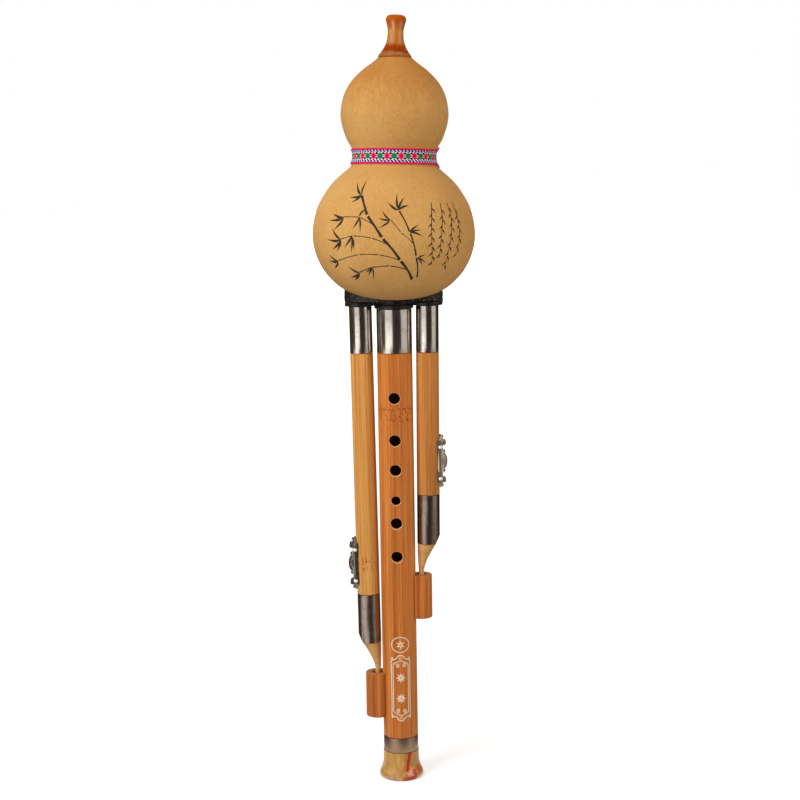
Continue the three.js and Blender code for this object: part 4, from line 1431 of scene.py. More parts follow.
@dataclass
class WaistRibbon:
    """The woven ribbon round the gourd's waist, its twisted edges and its sewn end."""

    shape: GourdShape
    width: float = 8.3 * MM
    thickness: float = 0.5 * MM
    slack: float = 0.35 * MM
    flowers: int = 38
    sides: int = 152
    drop: float = 0.45 * MM
    bow: float = 0.25 * MM
    edge_radius: float = 0.5 * MM
    edge_turns: int = 170
    join_turn: float = 74.0
    strands: int = 16
    crease: float = 60

    def _middle(self) -> float:
        """Height of the band's middle."""
        return self.shape.waist - self.drop

    def _sway(self, bm: Mesh) -> Mesh:
        """Let the band rise at the front left and sink behind, and put it on the gourd.

        Args:
            bm: A mesh round the gourd's waist.

        Returns:
            The same mesh in its place.
        """
        for vert in bm.verts:
            turn = math.atan2(vert.co.x, -vert.co.y)
            vert.co.z += self.bow * math.cos(turn + math.radians(35))
        return move(bm, self.shape.matrix())

    def _profile(self) -> list[Vector]:
        """The closed outline of the ribbon's section, from its outer foot up and back inside."""
        steps = 8
        heights = [self._middle() + self.width * (step / steps - 0.5) for step in range(steps + 1)]
        inner = [Vector((self._inside(height), height)) for height in heights]
        outer = [point + Vector((self.thickness, 0)) for point in inner]
        return [*outer, *reversed(inner)]

    def _inside(self, height: float) -> float:
        """The band's inner radius at a height."""
        return self.shape.radius_at(height) + self.slack

    def build(self) -> None:
        """Build the band, the cords along its edges and the frayed end."""
        band = lathe(self._profile(), self.sides, closed=True)
        self._map_weave(band)
        woven = WovenRibbon(self.width / self._pitch()).material()
        pink = Yarn("ribbon_edge", "b00c3c", "ee2c6c").material()
        cords = merge(self._edge_cord(side) for side in (-1, 1))
        for name, bm, finish, replaces in (
            ("ribbon_band", band, woven, ["waist_ribbon"]),
            ("ribbon_edges", cords, pink, ()),
            ("ribbon_threads", self._threads(), pink, ()),
        ):
            add_piece(name, self._sway(bm), Body.GOURD, [finish], replaces, self.crease)

    def _pitch(self) -> float:
        """Distance from flower to flower."""
        reach = self.shape.waist_radius + self.slack + self.thickness
        return math.tau * reach / self.flowers

    def _map_weave(self, bm: Mesh) -> None:
        """Lay the weave map: flowers along the band, 0 to 1 across it.

        Args:
            bm: The band's mesh.
        """
        weave = bm.loops.layers.uv.new("weave")
        foot = self._middle() - self.width / 2
        for face in bm.faces:
            middle = face.calc_center_median()
            mean = math.atan2(middle.y, middle.x)
            for loop in face.loops:
                corner = loop.vert.co
                turn = math.atan2(corner.y, corner.x)
                turn += math.tau * round((mean - turn) / math.tau)
                along = (turn / math.tau + 0.5) * self.flowers
                loop[weave].uv = (along, (corner.z - foot) / self.width)

    def _edge_cord(self, side: int) -> Mesh:
        """A twisted cord along one edge of the band.

        Args:
            side: 1 for the upper edge, -1 for the lower.

        Returns:
            The cord.
        """
        height = self._middle() + side * (self.width / 2 - self.edge_radius)
        reach = self._inside(height)
        section = [
            (reach + self.edge_radius * math.cos(turn), height + self.edge_radius * math.sin(turn))
            for turn in spread(8)
        ]
        bm = lathe(section, self.edge_turns * 6, closed=True)
        for vert in bm.verts:
            turn = math.atan2(vert.co.y, vert.co.x)
            out = math.hypot(vert.co.x, vert.co.y) - reach
            up = vert.co.z - height
            swell = 1 + 0.2 * math.cos(2 * math.atan2(up, out) - self.edge_turns * turn)
            radius = reach + out * swell
            vert.co = Vector((radius * math.cos(turn), radius * math.sin(turn), height + up * swell))
        return bm

    def _threads(self) -> Mesh:
        """Loose threads at the sewn end."""
        strands = []
        for side in (-1, 1):
            height = self._middle() + side * (self.width / 2 - 0.4 * MM)
            reach = self._inside(height) + self.thickness
            for order in range(self.strands):
                turn = math.radians(self.join_turn + 1.1 * order)
                out = Vector((math.sin(turn), -math.cos(turn), 0))
                root = out * reach + Vector((0, 0, height))
                tip = root + out * (0.6 + 0.2 * (order % 3)) * MM
                tip.z += side * (1.1 + 0.35 * (order % 4)) * MM
                rings = [(root - out * 0.3 * MM, 0.2 * MM), (root, 0.2 * MM), (tip, 0.09 * MM)]
                strands.append(loft(rings, 6))
        return merge(strands)


@dataclass
class Collars:
    """The three black collars in the gourd's base, and the sealant between them."""

    shape: GourdShape
    seat: float
    length: float = 20.0 * MM
    rim_height: float = 2.4 * MM
    main_rim: float = 11.2 * MM
    main_neck: float = 10.5 * MM
    main_bore: float = 8.7 * MM
    drone_rim: float = 8.8 * MM
    drone_neck: float = 7.9 * MM
    drone_bore: float = 5.6 * MM
    drone_lift: float = 1.6 * MM
    bead: float = 0.35 * MM
    waist_cut: float = 0.25 * MM
    sealant_length: float = 28.4 * MM
    sealant_width: float = 13.2 * MM
    sealant_top: float = 22.0 * MM
    step_reach: float = 7.0 * MM
    neck_span: float = 36.0 * MM
    gap: float = 0.3 * MM
    hair: float = 0.1 * MM

    def build(self, drones: Sequence["DroneFrame"]) -> None:
        """Build the collars and the sealant.

        Args:
            drones: The frames of the two drones.
        """
        main = move(self._collar(self.main_rim, self.main_neck, self.main_bore), shifted(0, 0, self.seat))
        self._add("main_collar", carve(main, [self._envelope()]))
        high = self.seat + self.drone_lift + self.rim_height + OVERRUN
        for drone in drones:
            collar = move(self._collar(self.drone_rim, self.drone_neck, self.drone_bore), drone.matrix())
            room = rod(self.main_rim + self.hair, self.seat - OVERRUN, high, 96)
            self._add(drone.prefix + "_collar", carve(collar, [self._envelope(), room]))
        self._build_sealant(drones)

    def _add(self, name: str, collar: Mesh) -> None:
        """Add a collar that stands for the node of its name."""
        finishes = [shared("black_resin"), shared("black_sealant")]
        add_piece(name + "_resin", collar, Body.GOURD, finishes, [name])

    def _collar(self, rim: float, neck: float, bore: float) -> Mesh:
        """A collar before it is fitted to the gourd, with its face at height zero.

        Args:
            rim: Radius of its rim.
            neck: Radius of its neck.
            bore: Radius of its bore.

        Returns:
            The collar.
        """
        bead = self.bead
        outline = [
            (bore, 0),
            (rim - bead, 0),
            (rim, bead),
            (rim, self.rim_height - bead * 1.6),
            (rim - bead, self.rim_height - bead * 0.6),
            (neck, self.rim_height),
            (neck - self.waist_cut, self.rim_height + 1.2 * MM),
            (neck, self.rim_height + 2.6 * MM),
            (neck, self.length),
            (bore, self.length),
        ]
        bm = lathe(ring_line(outline, 0.4 * MM), 96, closed=True)
        for face in bm.faces:
            high = face.calc_center_median().z > self.rim_height + 0.1 * MM
            face.material_index = (Layer.CUT if high else Layer.SKIN).value
        return bm

    def _envelope(self) -> Mesh:
        """The room that the gourd takes."""
        outline = self.shape.outline(self.gap * 0.2, 60)
        return move(lathe([*outline, (0, outline[-1].y)], 120), self.shape.matrix())

    def _build_sealant(self, drones: Sequence["DroneFrame"]) -> None:
        """Build the lumpy sealant that fills the space between the necks and the gourd.

        Args:
            drones: The frames of the two drones.
        """
        foot = self.seat + self.rim_height + self.gap
        high = self.seat + self.sealant_top
        steps = 26
        rings = [(Vector((0, 0, foot + (high - foot) * step / steps)), MM) for step in range(steps + 1)]
        blob = loft(rings, 220)
        move(blob, Matrix.Diagonal((self.sealant_length / MM, self.sealant_width / MM, 1, 1)))
        for vert in blob.verts:
            away = Vector((vert.co.x, vert.co.y, 0)).normalized()
            lump = noise.noise(vert.co / (1.7 * MM)) * 0.28 + noise.noise(vert.co / (0.8 * MM)) * 0.14
            vert.co += away * (lump - 0.35) * MM
        cutters = [self._envelope(), rod(self.main_neck + self.hair, self.seat, high + OVERRUN, 72)]
        step = foot + self.drone_lift
        for side in (-1, 1):
            near, far = sorted((side * self.step_reach, side * self.sealant_length))
            cutters.append(block((-self.sealant_length, near, self.seat), (self.sealant_length, far, step)))
        for drone in drones:
            rim = rod(self.drone_rim + self.hair, -OVERRUN, self.rim_height + self.hair, 96)
            neck = rod(self.drone_neck + self.hair, -OVERRUN, self.neck_span, 60)
            for cutter in (rim, neck):
                room = rod(self.main_rim, self.seat, step, 96)
                cutters.append(carve(move(cutter, drone.matrix()), [room]))
        bm = carve(blob, cutters)
        add_piece("sealant_lumps", bm, Body.GOURD, [shared("black_sealant")], ["collar_sealant"], 50)


# The finger-hole pipe


@dataclass(frozen=True)
class FingerHole:
    """A hole in the finger-hole pipe: its height, its radius and whether it is at the back."""

    height: float
    radius: float
    behind: bool = False


@dataclass
class FingerPipe:
    """The finger-hole pipe with its ferrule, ring, bell and stubs."""

    seat: float = 277.0 * MM
    radius: float = 10.1 * MM
    bore: float = 6.6 * MM
    sleeve_radius: float = 9.0 * MM
    bamboo_foot: float = 25.4 * MM
    bamboo_top: float = 251.5 * MM
    sleeved: float = 16.5 * MM
    ferrule_wall: float = 0.8 * MM
    gap: float = 0.3 * MM
    hole_turn: float = -3.7
    hole_radius: float = 3.35 * MM
    small_hole: float = 2.75 * MM
    hole_drop: float = 0.3 * MM
    hole_shares: tuple[float, ...] = (0.889, 0.781, 0.705, 0.627, 0.568, 0.481)
    small_index: int = 3
    thumb_share: float = 0.954
    chamfer: float = 0.24 * MM
    edge: float = 0.12 * MM
    knot: float = 218.3 * MM
    bell_height: float = 16.2 * MM
    bell_neck: float = 10.4 * MM
    bell_widest: float = 13.1 * MM
    bell_mouth: float = 9.6 * MM
    spigot: float = 3.0 * MM
    ornament_turn: float = 3.0
    line_lift: float = 0.02 * MM
    line_depth: float = 0.05 * MM
    flare_shares: Points = (
        (0, 0.48), (0.055, 0.89), (0.12, 1), (0.22, 0.81), (0.37, 0.37), (0.52, 0.11), (0.74, 0), (1, 0),
    )
    mouth_shares: Points = ((0.55, 0), (0.32, 0.14), (0.13, 0.48), (0, 1))

    def holes(self) -> list[FingerHole]:
        """All finger holes and the thumb hole."""
        length = self.bamboo_top - self.bamboo_foot
        front = [
            FingerHole(
                self.bamboo_foot + share * length - self.hole_drop,
                self.small_hole if index == self.small_index else self.hole_radius,
            )
            for index, share in enumerate(self.hole_shares)
        ]
        thumb = FingerHole(self.bamboo_foot + self.thumb_share * length, self.hole_radius, True)
        return [*front, thumb]

    def build(self, stubs: Sequence["Stub"]) -> None:
        """Build the pipe's own pieces and its two stubs.

        Args:
            stubs: The two stubs.
        """
        self._build_tube()
        self._build_metal()
        self._build_bell()
        self._build_ornament()
        for stub in stubs:
            stub.build(self.radius + self.gap)

    def _build_tube(self) -> None:
        """Build the bamboo tube with its chamfered holes."""
        foot = self.bell_height + self.spigot + self.gap
        top = self.bamboo_top + self.sleeved
        outline = stepped(
            (foot, top), (self.bamboo_foot, self.bamboo_top), (self.bore, self.sleeve_radius, self.radius)
        )
        tube = mark(lathe(ring_line(outline, self.edge, 2), 192, closed=True), Layer.SKIN)
        tube = carve(tube, [self._drill(hole) for hole in self.holes()])
        colours = ("a0501a", "c87530", "de9148")
        finish = Bamboo("fluted_bamboo", turned(50, "Z"), *colours, self.knot, 1.0, self.radius).material()
        finishes = [finish, shared("hole_rim")]
        add_piece("finger_pipe", tube, Body.PIPE, finishes, ["main_pipe"], 28)

    def _drill(self, hole: FingerHole) -> Mesh:
        """A cutter for a hole whose chamfer follows the pipe's round skin.

        Args:
            hole: The hole.

        Returns:
            The cutter.
        """
        bm = bmesh.new()
        made = bmesh.ops.create_circle(bm, cap_ends=True, segments=64, radius=hole.radius)
        for vert in made["verts"]:
            vert.co.z = -self.radius * 0.3
        ring = list(bm.edges)
        for grow, lift in ((0, -self.chamfer), (self.chamfer, 0), (self.chamfer * 1.2, OVERRUN)):
            verts, ring = next_ring(bm, ring)
            for vert in verts:
                flat = Vector((vert.co.x, vert.co.y)).normalized() * (hole.radius + grow)
                skin = math.sqrt(self.radius**2 - flat.x**2)
                vert.co = Vector((flat.x, flat.y, skin + lift))
        tilt = turned(self.hole_turn, "Z") @ turned(-90 if hole.behind else 90, "X")
        return mark(move(close_ring(bm, ring), shifted(0, 0, hole.height) @ tilt), Layer.CUT)

    def _build_metal(self) -> None:
        """Build the ferrule and the ring."""
        inner = self.radius - self.ferrule_wall
        ferrule = sleeve(inner, self.radius, self.bamboo_top + self.gap, self.seat - self.gap, 144)
        add_piece("finger_pipe_ferrule", ferrule, Body.PIPE, [shared("steel")], ["main_ferrule"])
        ring = sleeve(inner, self.radius, self.bell_height + self.gap, self.bamboo_foot - self.gap, 144)
        brushed = Metal("ring_steel", "9c8068", "846a54", 0.4, 0.14, (1, 1, 12)).material()
        add_piece("foot_ring", ring, Body.PIPE, [brushed], ["bottom_ring"])

    def _build_bell(self) -> None:
        """Build the resin bell with its spigot and flared mouth."""
        whole = (0, self.bell_height)
        flare = smooth_line(stretch(self.flare_shares, whole, (self.bell_neck, self.bell_widest)), 48)
        mouth = smooth_line(stretch(self.mouth_shares, whole, (self.bore, self.bell_mouth)), 24)
        top = self.bell_height + self.spigot
        spigot = [(self.sleeve_radius, self.bell_height), (self.sleeve_radius, top), (self.bore, top)]
        bm = lathe([*flare, *spigot, *mouth], 160, closed=True)
        add_piece("bell_horn", bm, Body.PIPE, [HornResin(self.bell_height).material()], ["bell"])

    def _build_ornament(self) -> None:
        """Draw the pale line work on the pipe's front."""
        canvas = PipeCanvas(self.radius, self.ornament_turn)
        bm = draw(pipe_ornament(), canvas, self.line_lift, self.line_depth)
        paint = Grained("cream_paint", "cfae8c", "ecd9c0", 2600).material()
        add_piece("pipe_ornament", bm, Body.PIPE, [paint])


def stepped(span: tuple[float, float], wide: tuple[float, float], radii: tuple[float, float, float]) -> Points:
    """The closed outline of a tube that is thinner where ferrules cover its ends.

    Args:
        span: Heights of its ends.
        wide: Heights between which it has its full radius.
        radii: Its bore, its radius under the ferrules and its full radius.

    Returns:
        The outline's (radius, height) corners.
    """
    bore, thin, full = radii
    (foot, top), (low, high) = span, wide
    return [
        (bore, foot), (thin, foot), (thin, low), (full, low),
        (full, high), (thin, high), (thin, top), (bore, top),
    ]


def sleeve(inner: float, outer: float, low: float, high: float, sides: int) -> Mesh:
    """A thin metal tube with softened edges."""
    outline = [(inner, low), (outer, low), (outer, high), (inner, high)]
    return lathe(ring_line(outline, 0.14 * MM, 3), sides, closed=True)


def arc(centre: tuple[float, float], radii: tuple[float, float], turns: tuple[float, float]) -> list[tuple]:
    """Points along an arc or a spiral, in millimetres.

    Args:
        centre: Its centre.
        radii: Its radius at the start and at the end.
        turns: Its angles at the start and at the end, in degrees.

    Returns:
        The points.
    """
    points = []
    steps = max(4, int(abs(turns[1] - turns[0]) / 40))
    for step in range(steps + 1):
        share = step / steps
        turn = math.radians(turns[0] + (turns[1] - turns[0]) * share)
        radius = radii[0] + (radii[1] - radii[0]) * share
        points.append((centre[0] + radius * math.cos(turn), centre[1] + radius * math.sin(turn)))
    return points


def rosette(height: float, petals: int, reach: float) -> list[Stroke]:
    """A flower of pointed petals at a height on the drawing's middle line.

    Args:
        height: Its height on the drawing, in millimetres.
        petals: How many petals it has.
        reach: Length of a petal, in millimetres.

    Returns:
        The strokes.
    """
    strokes = []
    for order in range(petals):
        angle = 360 * order / petals + 90
        turn = math.radians(angle)
        start = (0.35 * math.cos(turn), height + 0.35 * math.sin(turn))
        strokes.append(leaf(start, angle, reach, reach * 0.42))
    return strokes


def pipe_ornament() -> list[Stroke]:
    """An oval with a rosette, and below it a double-lined panel with scrolls at both ends."""
    crest, middle, half = 81.9, 55.9, 19.9
    oval = [(5.3 * math.cos(turn), crest + 4.5 * math.sin(turn)) for turn in (*spread(24), math.tau)]
    strokes = [line_of(oval, (0.55,) * 3, 96), *rosette(crest, 6, 2.4)]
    outer_quarter = ((0, 1.0), (1.6, 0.955), (2.7, 0.885), (4.3, 0.86), (5.6, 0.82), (5.75, 0.74), (5.6, 0.6))
    inner_quarter = ((0, 0.83), (1.6, 0.8), (3.0, 0.765), (4.2, 0.73), (4.55, 0.66), (4.55, 0.5))
    for quarter, width in ((outer_quarter, 0.6), (inner_quarter, 0.5)):
        for side in (-1, 1):
            down = [(side * out, middle + half * up) for out, up in quarter]
            back = [(side * out, middle - half * up) for out, up in reversed(quarter)]
            strokes.append(line_of([*down, *back], (width,) * 3, 90))
    for side in (-1, 1):
        for end in (-1, 1):
            curl = arc((side * 2.0, middle + end * half * 0.69), (0.25, 1.25), (0, side * end * 470))
            strokes.append(line_of(curl, (0.5,) * 3, 36))
            curl = arc((side * 5.3, middle + end * half * 0.885), (0.15, 0.75), (90, 90 - side * end * 400))
            strokes.append(line_of(curl, (0.45,) * 3, 30))
    for rise, petals, reach in ((half * 0.9, 5, 1.0), (6.2, 8, 2.6)):
        for end in (1, -1):
            strokes += rosette(middle + end * rise, petals, reach)
    return strokes


@dataclass
class Stub:
    """A short bamboo stub glued to the finger-hole pipe's side."""

    prefix: str
    side: int
    radius: float
    top: float
    length: float
    offset: float = 13.2 * MM
    bore: float = 3.0 * MM
    depth: float = 12.0 * MM
    roundness: float = 0.6 * MM
    edge: float = 0.12 * MM

    def build(self, saddle_radius: float) -> None:
        """Build the stub, cut to the pipe's side.

        Args:
            saddle_radius: Radius of the cut that sits on the pipe.
        """
        low = self.top - self.length
        skin = [(0, low), (self.radius, low), (self.radius, self.top), (self.bore, self.top)]
        inside = [(self.bore, self.top - self.depth), (0, self.top - self.depth)]
        bm = lathe(rounded([*skin, *inside], self.roundness, 4), 96)
        for face in bm.faces:
            middle = face.calc_center_median()
            outside = math.hypot(middle.x, middle.y) > self.radius - self.edge
            face.material_index = (Layer.SKIN if outside else Layer.CUT).value
        matrix = shifted(self.side * self.offset, 0, 0)
        saddle = mark(rod(saddle_radius, low - OVERRUN, self.top + OVERRUN, 120), Layer.CUT)
        bm = carve(move(bm, matrix), [saddle])
        name = self.prefix + "_stub"
        bamboo = Bamboo(name + "_bamboo", matrix, "964a16", "b9672a", "cc7f3c").material()
        end = CutBamboo(name + "_end", "96562c", "c48a5c").material()
        add_piece(name + "_piece", bm, Body.PIPE, [bamboo, end], [name])


# The drones


@dataclass(frozen=True)
class DroneFrame:
    """The leaning frame of a drone: its origin is at its collar's face, and +X points outwards."""

    prefix: str
    side: int
    seat_x: float
    seat_z: float
    stub_x: float
    stub_z: float
    ferrule_foot: float
    key_middle: float
    bamboo: tuple[str, str, str]
    dark_steel: tuple[str, str]
    knot: Optional[float]
    body: Body
    key_body: Body

    def matrix(self) -> Matrix:
        """The drone's frame in the frame of the part."""
        lean = math.atan2(self.side * (self.seat_x - self.stub_x), self.seat_z - self.stub_z)
        spot = shifted(self.side * self.seat_x, 0, self.seat_z)
        return spot @ Matrix.Rotation(lean, 4, "Y") @ turned(180 if self.side < 0 else 0, "Z")


@dataclass
class Drone:
    """A drone pipe with its ferrules and the quill that ends it."""

    frame_of: DroneFrame
    radius: float = 6.55 * MM
    bore: float = 4.2 * MM
    sleeve_radius: float = 5.45 * MM
    ferrule_wall: float = 0.8 * MM
    upper_length: float = 27.1 * MM
    lower_length: float = 29.0 * MM
    sleeved: float = 18.5 * MM
    lower_sleeved: float = 12.0 * MM
    quill_drop: float = 18.6 * MM
    quill_insert: float = 3.5 * MM
    cut_rise: float = 5.0 * MM
    cut_depth: float = 2.6 * MM
    gap: float = 0.3 * MM
    tone_hole: float = 1.3 * MM
    tone_rise: float = 1.8 * MM
    edge: float = 0.12 * MM
    tip_edge: float = 0.5 * MM
    quill_shares: Sequence[tuple[float, float, float]] = (
        (0, -0.97, 0.72), (0.09, -0.97, 0.55), (0.24, -0.97, 0.29),
        (0.56, -0.94, -0.16), (0.81, -0.9, -0.39), (1, -0.87, -0.41),
    )

    def build(self) -> None:
        """Build the drone's bamboo, ferrules and quill."""
        place = self.frame_of
        self._build_tube()
        inner = self.radius - self.ferrule_wall
        upper = sleeve(inner, self.radius, -self.upper_length + self.gap, -self.gap, 112)
        self._add("upper_ferrule", "sleeve", upper, [shared("steel")], "steel")
        foot = place.ferrule_foot
        lower = sleeve(inner, self.radius, foot, foot + self.lower_length - self.gap, 112)
        dark = Metal(place.prefix + "_dark_steel", *place.dark_steel, 0.3, 0.16, (1, 1, 0.4)).material()
        self._add("lower_ferrule", "sleeve", carve(lower, [self._slant()]), [dark], "dark_steel")
        self._build_quill()

    def _add(
        self,
        part: str,
        form: str,
        bm: Mesh,
        finishes: Sequence[bpy.types.Material],
        slot: str,
        crease: float = 32,
    ) -> None:
        """Add one piece of the drone.

        Args:
            part: Its node's name without the drone's side.
            form: The last word of the piece's name.
            bm: Its mesh in the drone's frame.
            finishes: Its materials, in the order of Layer.
            slot: The name of a material slot; not used.
            crease: Edges sharper than this many degrees stay sharp.
        """
        name = f"{self.frame_of.prefix}_{part}"
        placed = move(bm, self.frame_of.matrix())
        add_piece(f"{name}_{form}", placed, self.frame_of.body, finishes, [name], crease)

    def _build_tube(self) -> None:
        """Build the bamboo tube and its tone hole."""
        place = self.frame_of
        top = -self.upper_length
        low = place.ferrule_foot + self.lower_length
        span = (low - self.lower_sleeved, top + self.sleeved)
        outline = stepped(span, (low, top), (self.bore, self.sleeve_radius, self.radius))
        tube = mark(lathe(ring_line(outline, self.edge, 2), 144, closed=True), Layer.SKIN)
        spot = shifted(0, 0, place.key_middle + self.tone_rise) @ SIDE_ON
        tone = mark(move(rod(self.tone_hole, 0, self.radius + OVERRUN, 40), spot), Layer.CUT)
        name = place.prefix + "_drone_pipe_bamboo"
        bamboo = Bamboo(name, place.matrix(), *place.bamboo, place.knot, 0.2).material()
        slot = "pale_bamboo" if place.side < 0 else "brown_bamboo"
        self._add("drone_pipe", "tube", carve(tube, [tone]), [bamboo, shared("hole_rim")], slot, 28)

    def _slant(self) -> Mesh:
        """The slanted corner that is cut off the lower ferrule and the quill."""
        foot = self.frame_of.ferrule_foot
        depth = self.cut_depth + OVERRUN
        near = self.radius - self.cut_depth
        far = near + depth
        low, high = foot - OVERRUN, foot + self.cut_rise * depth / self.cut_depth
        width = self.radius + OVERRUN
        corners = [(near, -width, foot), (far, -width, high), (far, -width, low), (near, -width, low)]
        return prism(corners, (0, 2 * width, 0))

    def _build_quill(self) -> None:
        """Build the bamboo plug that tapers down one side to a thin tip."""
        foot = self.frame_of.ferrule_foot
        plug_top = foot + self.lower_length - self.lower_sleeved - self.gap
        inner = smooth_line([(down, low) for down, low, _ in self.quill_shares], 24)
        outer = smooth_line([(down, high) for down, _, high in self.quill_shares], 24)
        drop = self.quill_drop - self.gap
        rings = [(Vector((0, 0, height)), self.sleeve_radius) for height in (plug_top, foot)]
        for near, far in zip(inner, outer):
            middle = (near.y + far.y) * self.radius / 2
            reach = (far.y - near.y) * self.radius / 2
            rings.append((Vector((middle, 0, foot - self.gap - near.x * drop)), reach))
        centre, reach = rings[-1]
        rings.append((centre - Vector((0, 0, self.quill_insert - self.tip_edge)), reach))
        rings.append((centre - Vector((0, 0, self.quill_insert)), reach * 0.7))
        finish = CutBamboo(self.frame_of.prefix + "_quill_bamboo", "bd8444", "e2b278").material()
        self._add("quill", "piece", carve(loft(rings, 72), [self._slant()]), [finish], "cut_bamboo", 40)


@dataclass
class DroneKey:
    """The nickel key on a drone: a nailed plate with rolled ends, and a domed slider over the tone hole.

    In its frame +X points away from the drone, and +Z runs up it from the plate's middle.
    """

    frame_of: DroneFrame
    pipe_radius: float = 6.55 * MM
    gap: float = 0.3 * MM
    length: float = 31.0 * MM
    tab_thickness: float = 0.85 * MM
    deck_thickness: float = 1.65 * MM
    half_width: float = 4.4 * MM
    waist_half: float = 4.1 * MM
    deck_inset: float = 0.55 * MM
    scroll_radius: float = 1.95 * MM
    scroll_width: float = 7.2 * MM
    scroll_spacing: float = 22.1 * MM
    scroll_sink: float = 1.45 * MM
    scroll_turns: float = 1.6
    strip_thickness: float = 0.6 * MM
    eye_radius: float = 0.85 * MM
    roll_radius: float = 1.5 * MM
    roll_width: float = 8.7 * MM
    boss: float = 0.35 * MM
    bead_radius: float = 1.55 * MM
    bead_out: float = 0.4 * MM
    upper_bead_share: float = 0.385
    lower_bead_share: float = 0.45
    bar_radius: float = 1.75 * MM
    bar_inset: float = 1.5 * MM
    dome_radius: float = 4.6 * MM
    dome_height: float = 2.3 * MM
    dome_share: float = 0.92
    rim_beads: int = 30
    rim_bead_radius: float = 0.32 * MM
    lobe_radius: float = 1.35 * MM
    lobe_height: float = 1.3 * MM
    lobe_overlap: float = 0.3 * MM
    travel: float = 1.8 * MM
    pad_radius: float = 2.0 * MM
    nail_radius: float = 0.45 * MM
    nail_head: float = 1.0 * MM
    nail_depth: float = 1.7 * MM
    dome_shares: Points = (
        (0, 0), (1, 0), (1, 0.2), (0.95, 0.36), (0.88, 0.36), (0.85, 0.4), (0.87, 0.5), (0.8, 0.66),
        (0.66, 0.8), (0.45, 0.92), (0.2, 0.985), (0, 1),
    )
    lobe_shares: Points = ((1, 0), (1, 0.25), (0.8, 0.42), (0.62, 0.42), (0.6, 0.75), (0.35, 0.95), (0, 1))

    def build(self) -> None:
        """Build the plate, the nails and the slider."""
        place = self.frame_of
        parts = [self._plate()]
        for end in (-1, 1):
            parts += [self._scroll(end), self._roll(end), *self._beads(end)]
        self._add("key_plate", "cast", merge(parts), place.body, "bead_painted_highlight")
        for end, word in ((1, "top"), (-1, "bottom")):
            self._add("key_nail_" + word, "bead", self._nail(end), place.body)
        self._add("key_slider", "dome", self._slider(), place.key_body)

    def _add(self, part: str, form: str, bm: Mesh, body: Body, *more: str) -> None:
        """Add one piece of the key.

        Args:
            part: Its node's name without the drone's side.
            form: The last word of the piece's name.
            bm: Its mesh in the key's frame.
            body: The body that it moves with.
            more: Names of its finishes besides the drone's nickel.
        """
        place = self.frame_of
        name = f"{place.prefix}_{part}"
        move(bm, place.matrix() @ shifted(0, 0, place.key_middle))
        finishes = [shared(finish) for finish in (place.prefix + "_nickel", *more)]
        add_piece(f"{name}_{form}", bm, body, finishes, [name], 40)

    def _bed(self) -> float:
        """Radius of the hollow that lies on the drone."""
        return self.pipe_radius + self.gap

    def _deck(self) -> float:
        """Distance from the drone's axis to the deck that the slider runs on."""
        return self._bed() + self.deck_thickness

    def _shoulder(self) -> float:
        """Distance of the plate's shoulders from its middle."""
        return self.scroll_spacing / 2 + self.scroll_radius

    def _on_bed(self, bm: Mesh, *cutters: Mesh) -> Mesh:
        """Cut a mesh to the drone's round skin, and by more cutters."""
        return carve(bm, [rod(self._bed(), -self.length, self.length, 96), *cutters])

    def _outline(self, inset: float, half: float) -> list[Vector]:
        """The plate's outline, (across, up) points all round.

        Args:
            inset: How far it lies inside the plate's edge.
            half: Half of its length.

        Returns:
            The points.
        """
        wide, waist = self.half_width - inset, self.waist_half - inset
        shoulder = self._shoulder()
        if half > shoulder:
            tip = [(0, half), (1.4 * MM, half - 0.15 * MM), (2.1 * MM, half - 1.2 * MM)]
        else:
            tip = [(0, half), (wide * 0.5, half)]
        side = [(wide - 0.8 * MM, min(half, shoulder) - 0.1 * MM), (wide, min(half, shoulder) - 1.2 * MM)]
        quarter = [*tip, *side, (wide, shoulder * 0.55), (waist, shoulder * 0.25), (waist, 0)]
        right = smooth_line(quarter, 40)
        ring = right + [Vector((point.x, -point.y)) for point in reversed(right[:-1])]
        return ring + [Vector((-point.x, point.y)) for point in reversed(ring[1:-1])]

    def _slab(self, outline: Sequence[Vector], height: float, edge: float) -> Mesh:
        """A slab with a rounded upper edge.

        Args:
            outline: Its outline.
            height: Its height over the plate's bed.
            edge: Size of the rounding.

        Returns:
            The slab.
        """
        low, top = self.pipe_radius * 0.6, self._bed() + height
        bm = prism([(low, point.x, point.y) for point in outline], (top - low, 0, 0))
        rim = [side for side in bm.edges if all(vert.co.x > top - WELD for vert in side.verts)]
        bmesh.ops.bevel(
            bm, geom=rim, offset=edge, segments=3, affect="EDGES", profile=0.5, material=-1, clamp_overlap=True
        )
        bmesh.ops.recalc_face_normals(bm, faces=bm.faces)
        return bm

    def _plate(self) -> Mesh:
        """The plate: a moulded slab bedded on the pipe, with a slot for the pad and a hole for each nail."""
        tab = self._slab(self._outline(0, self.length / 2), self.tab_thickness, 0.25 * MM)
        deck = self._slab(self._outline(self.deck_inset, self._shoulder()), self.deck_thickness, 0.3 * MM)
        whole = carve(tab, [deck, *(self._bar(side) for side in (-1, 1))], "UNION")
        return self._on_bed(whole, self._pad_slot(), *(self._nail_hole(end) for end in (-1, 1)))

    def _bar(self, side: int) -> Mesh:
        """The round moulding along one side of the plate.

        Args:
            side: 1 or -1, the side that it lies on.

        Returns:
            The moulding.
        """
        half = self.scroll_spacing / 2 - self.bar_inset
        wide = self.bar_radius
        outline = rounded([(0, -half), (wide, -half), (wide, half), (0, half)], 0.5 * MM, 4)
        spot = shifted(self._deck() - self.bar_radius, side * (self.half_width - self.bar_radius), 0)
        return move(lathe(outline, 40), spot)

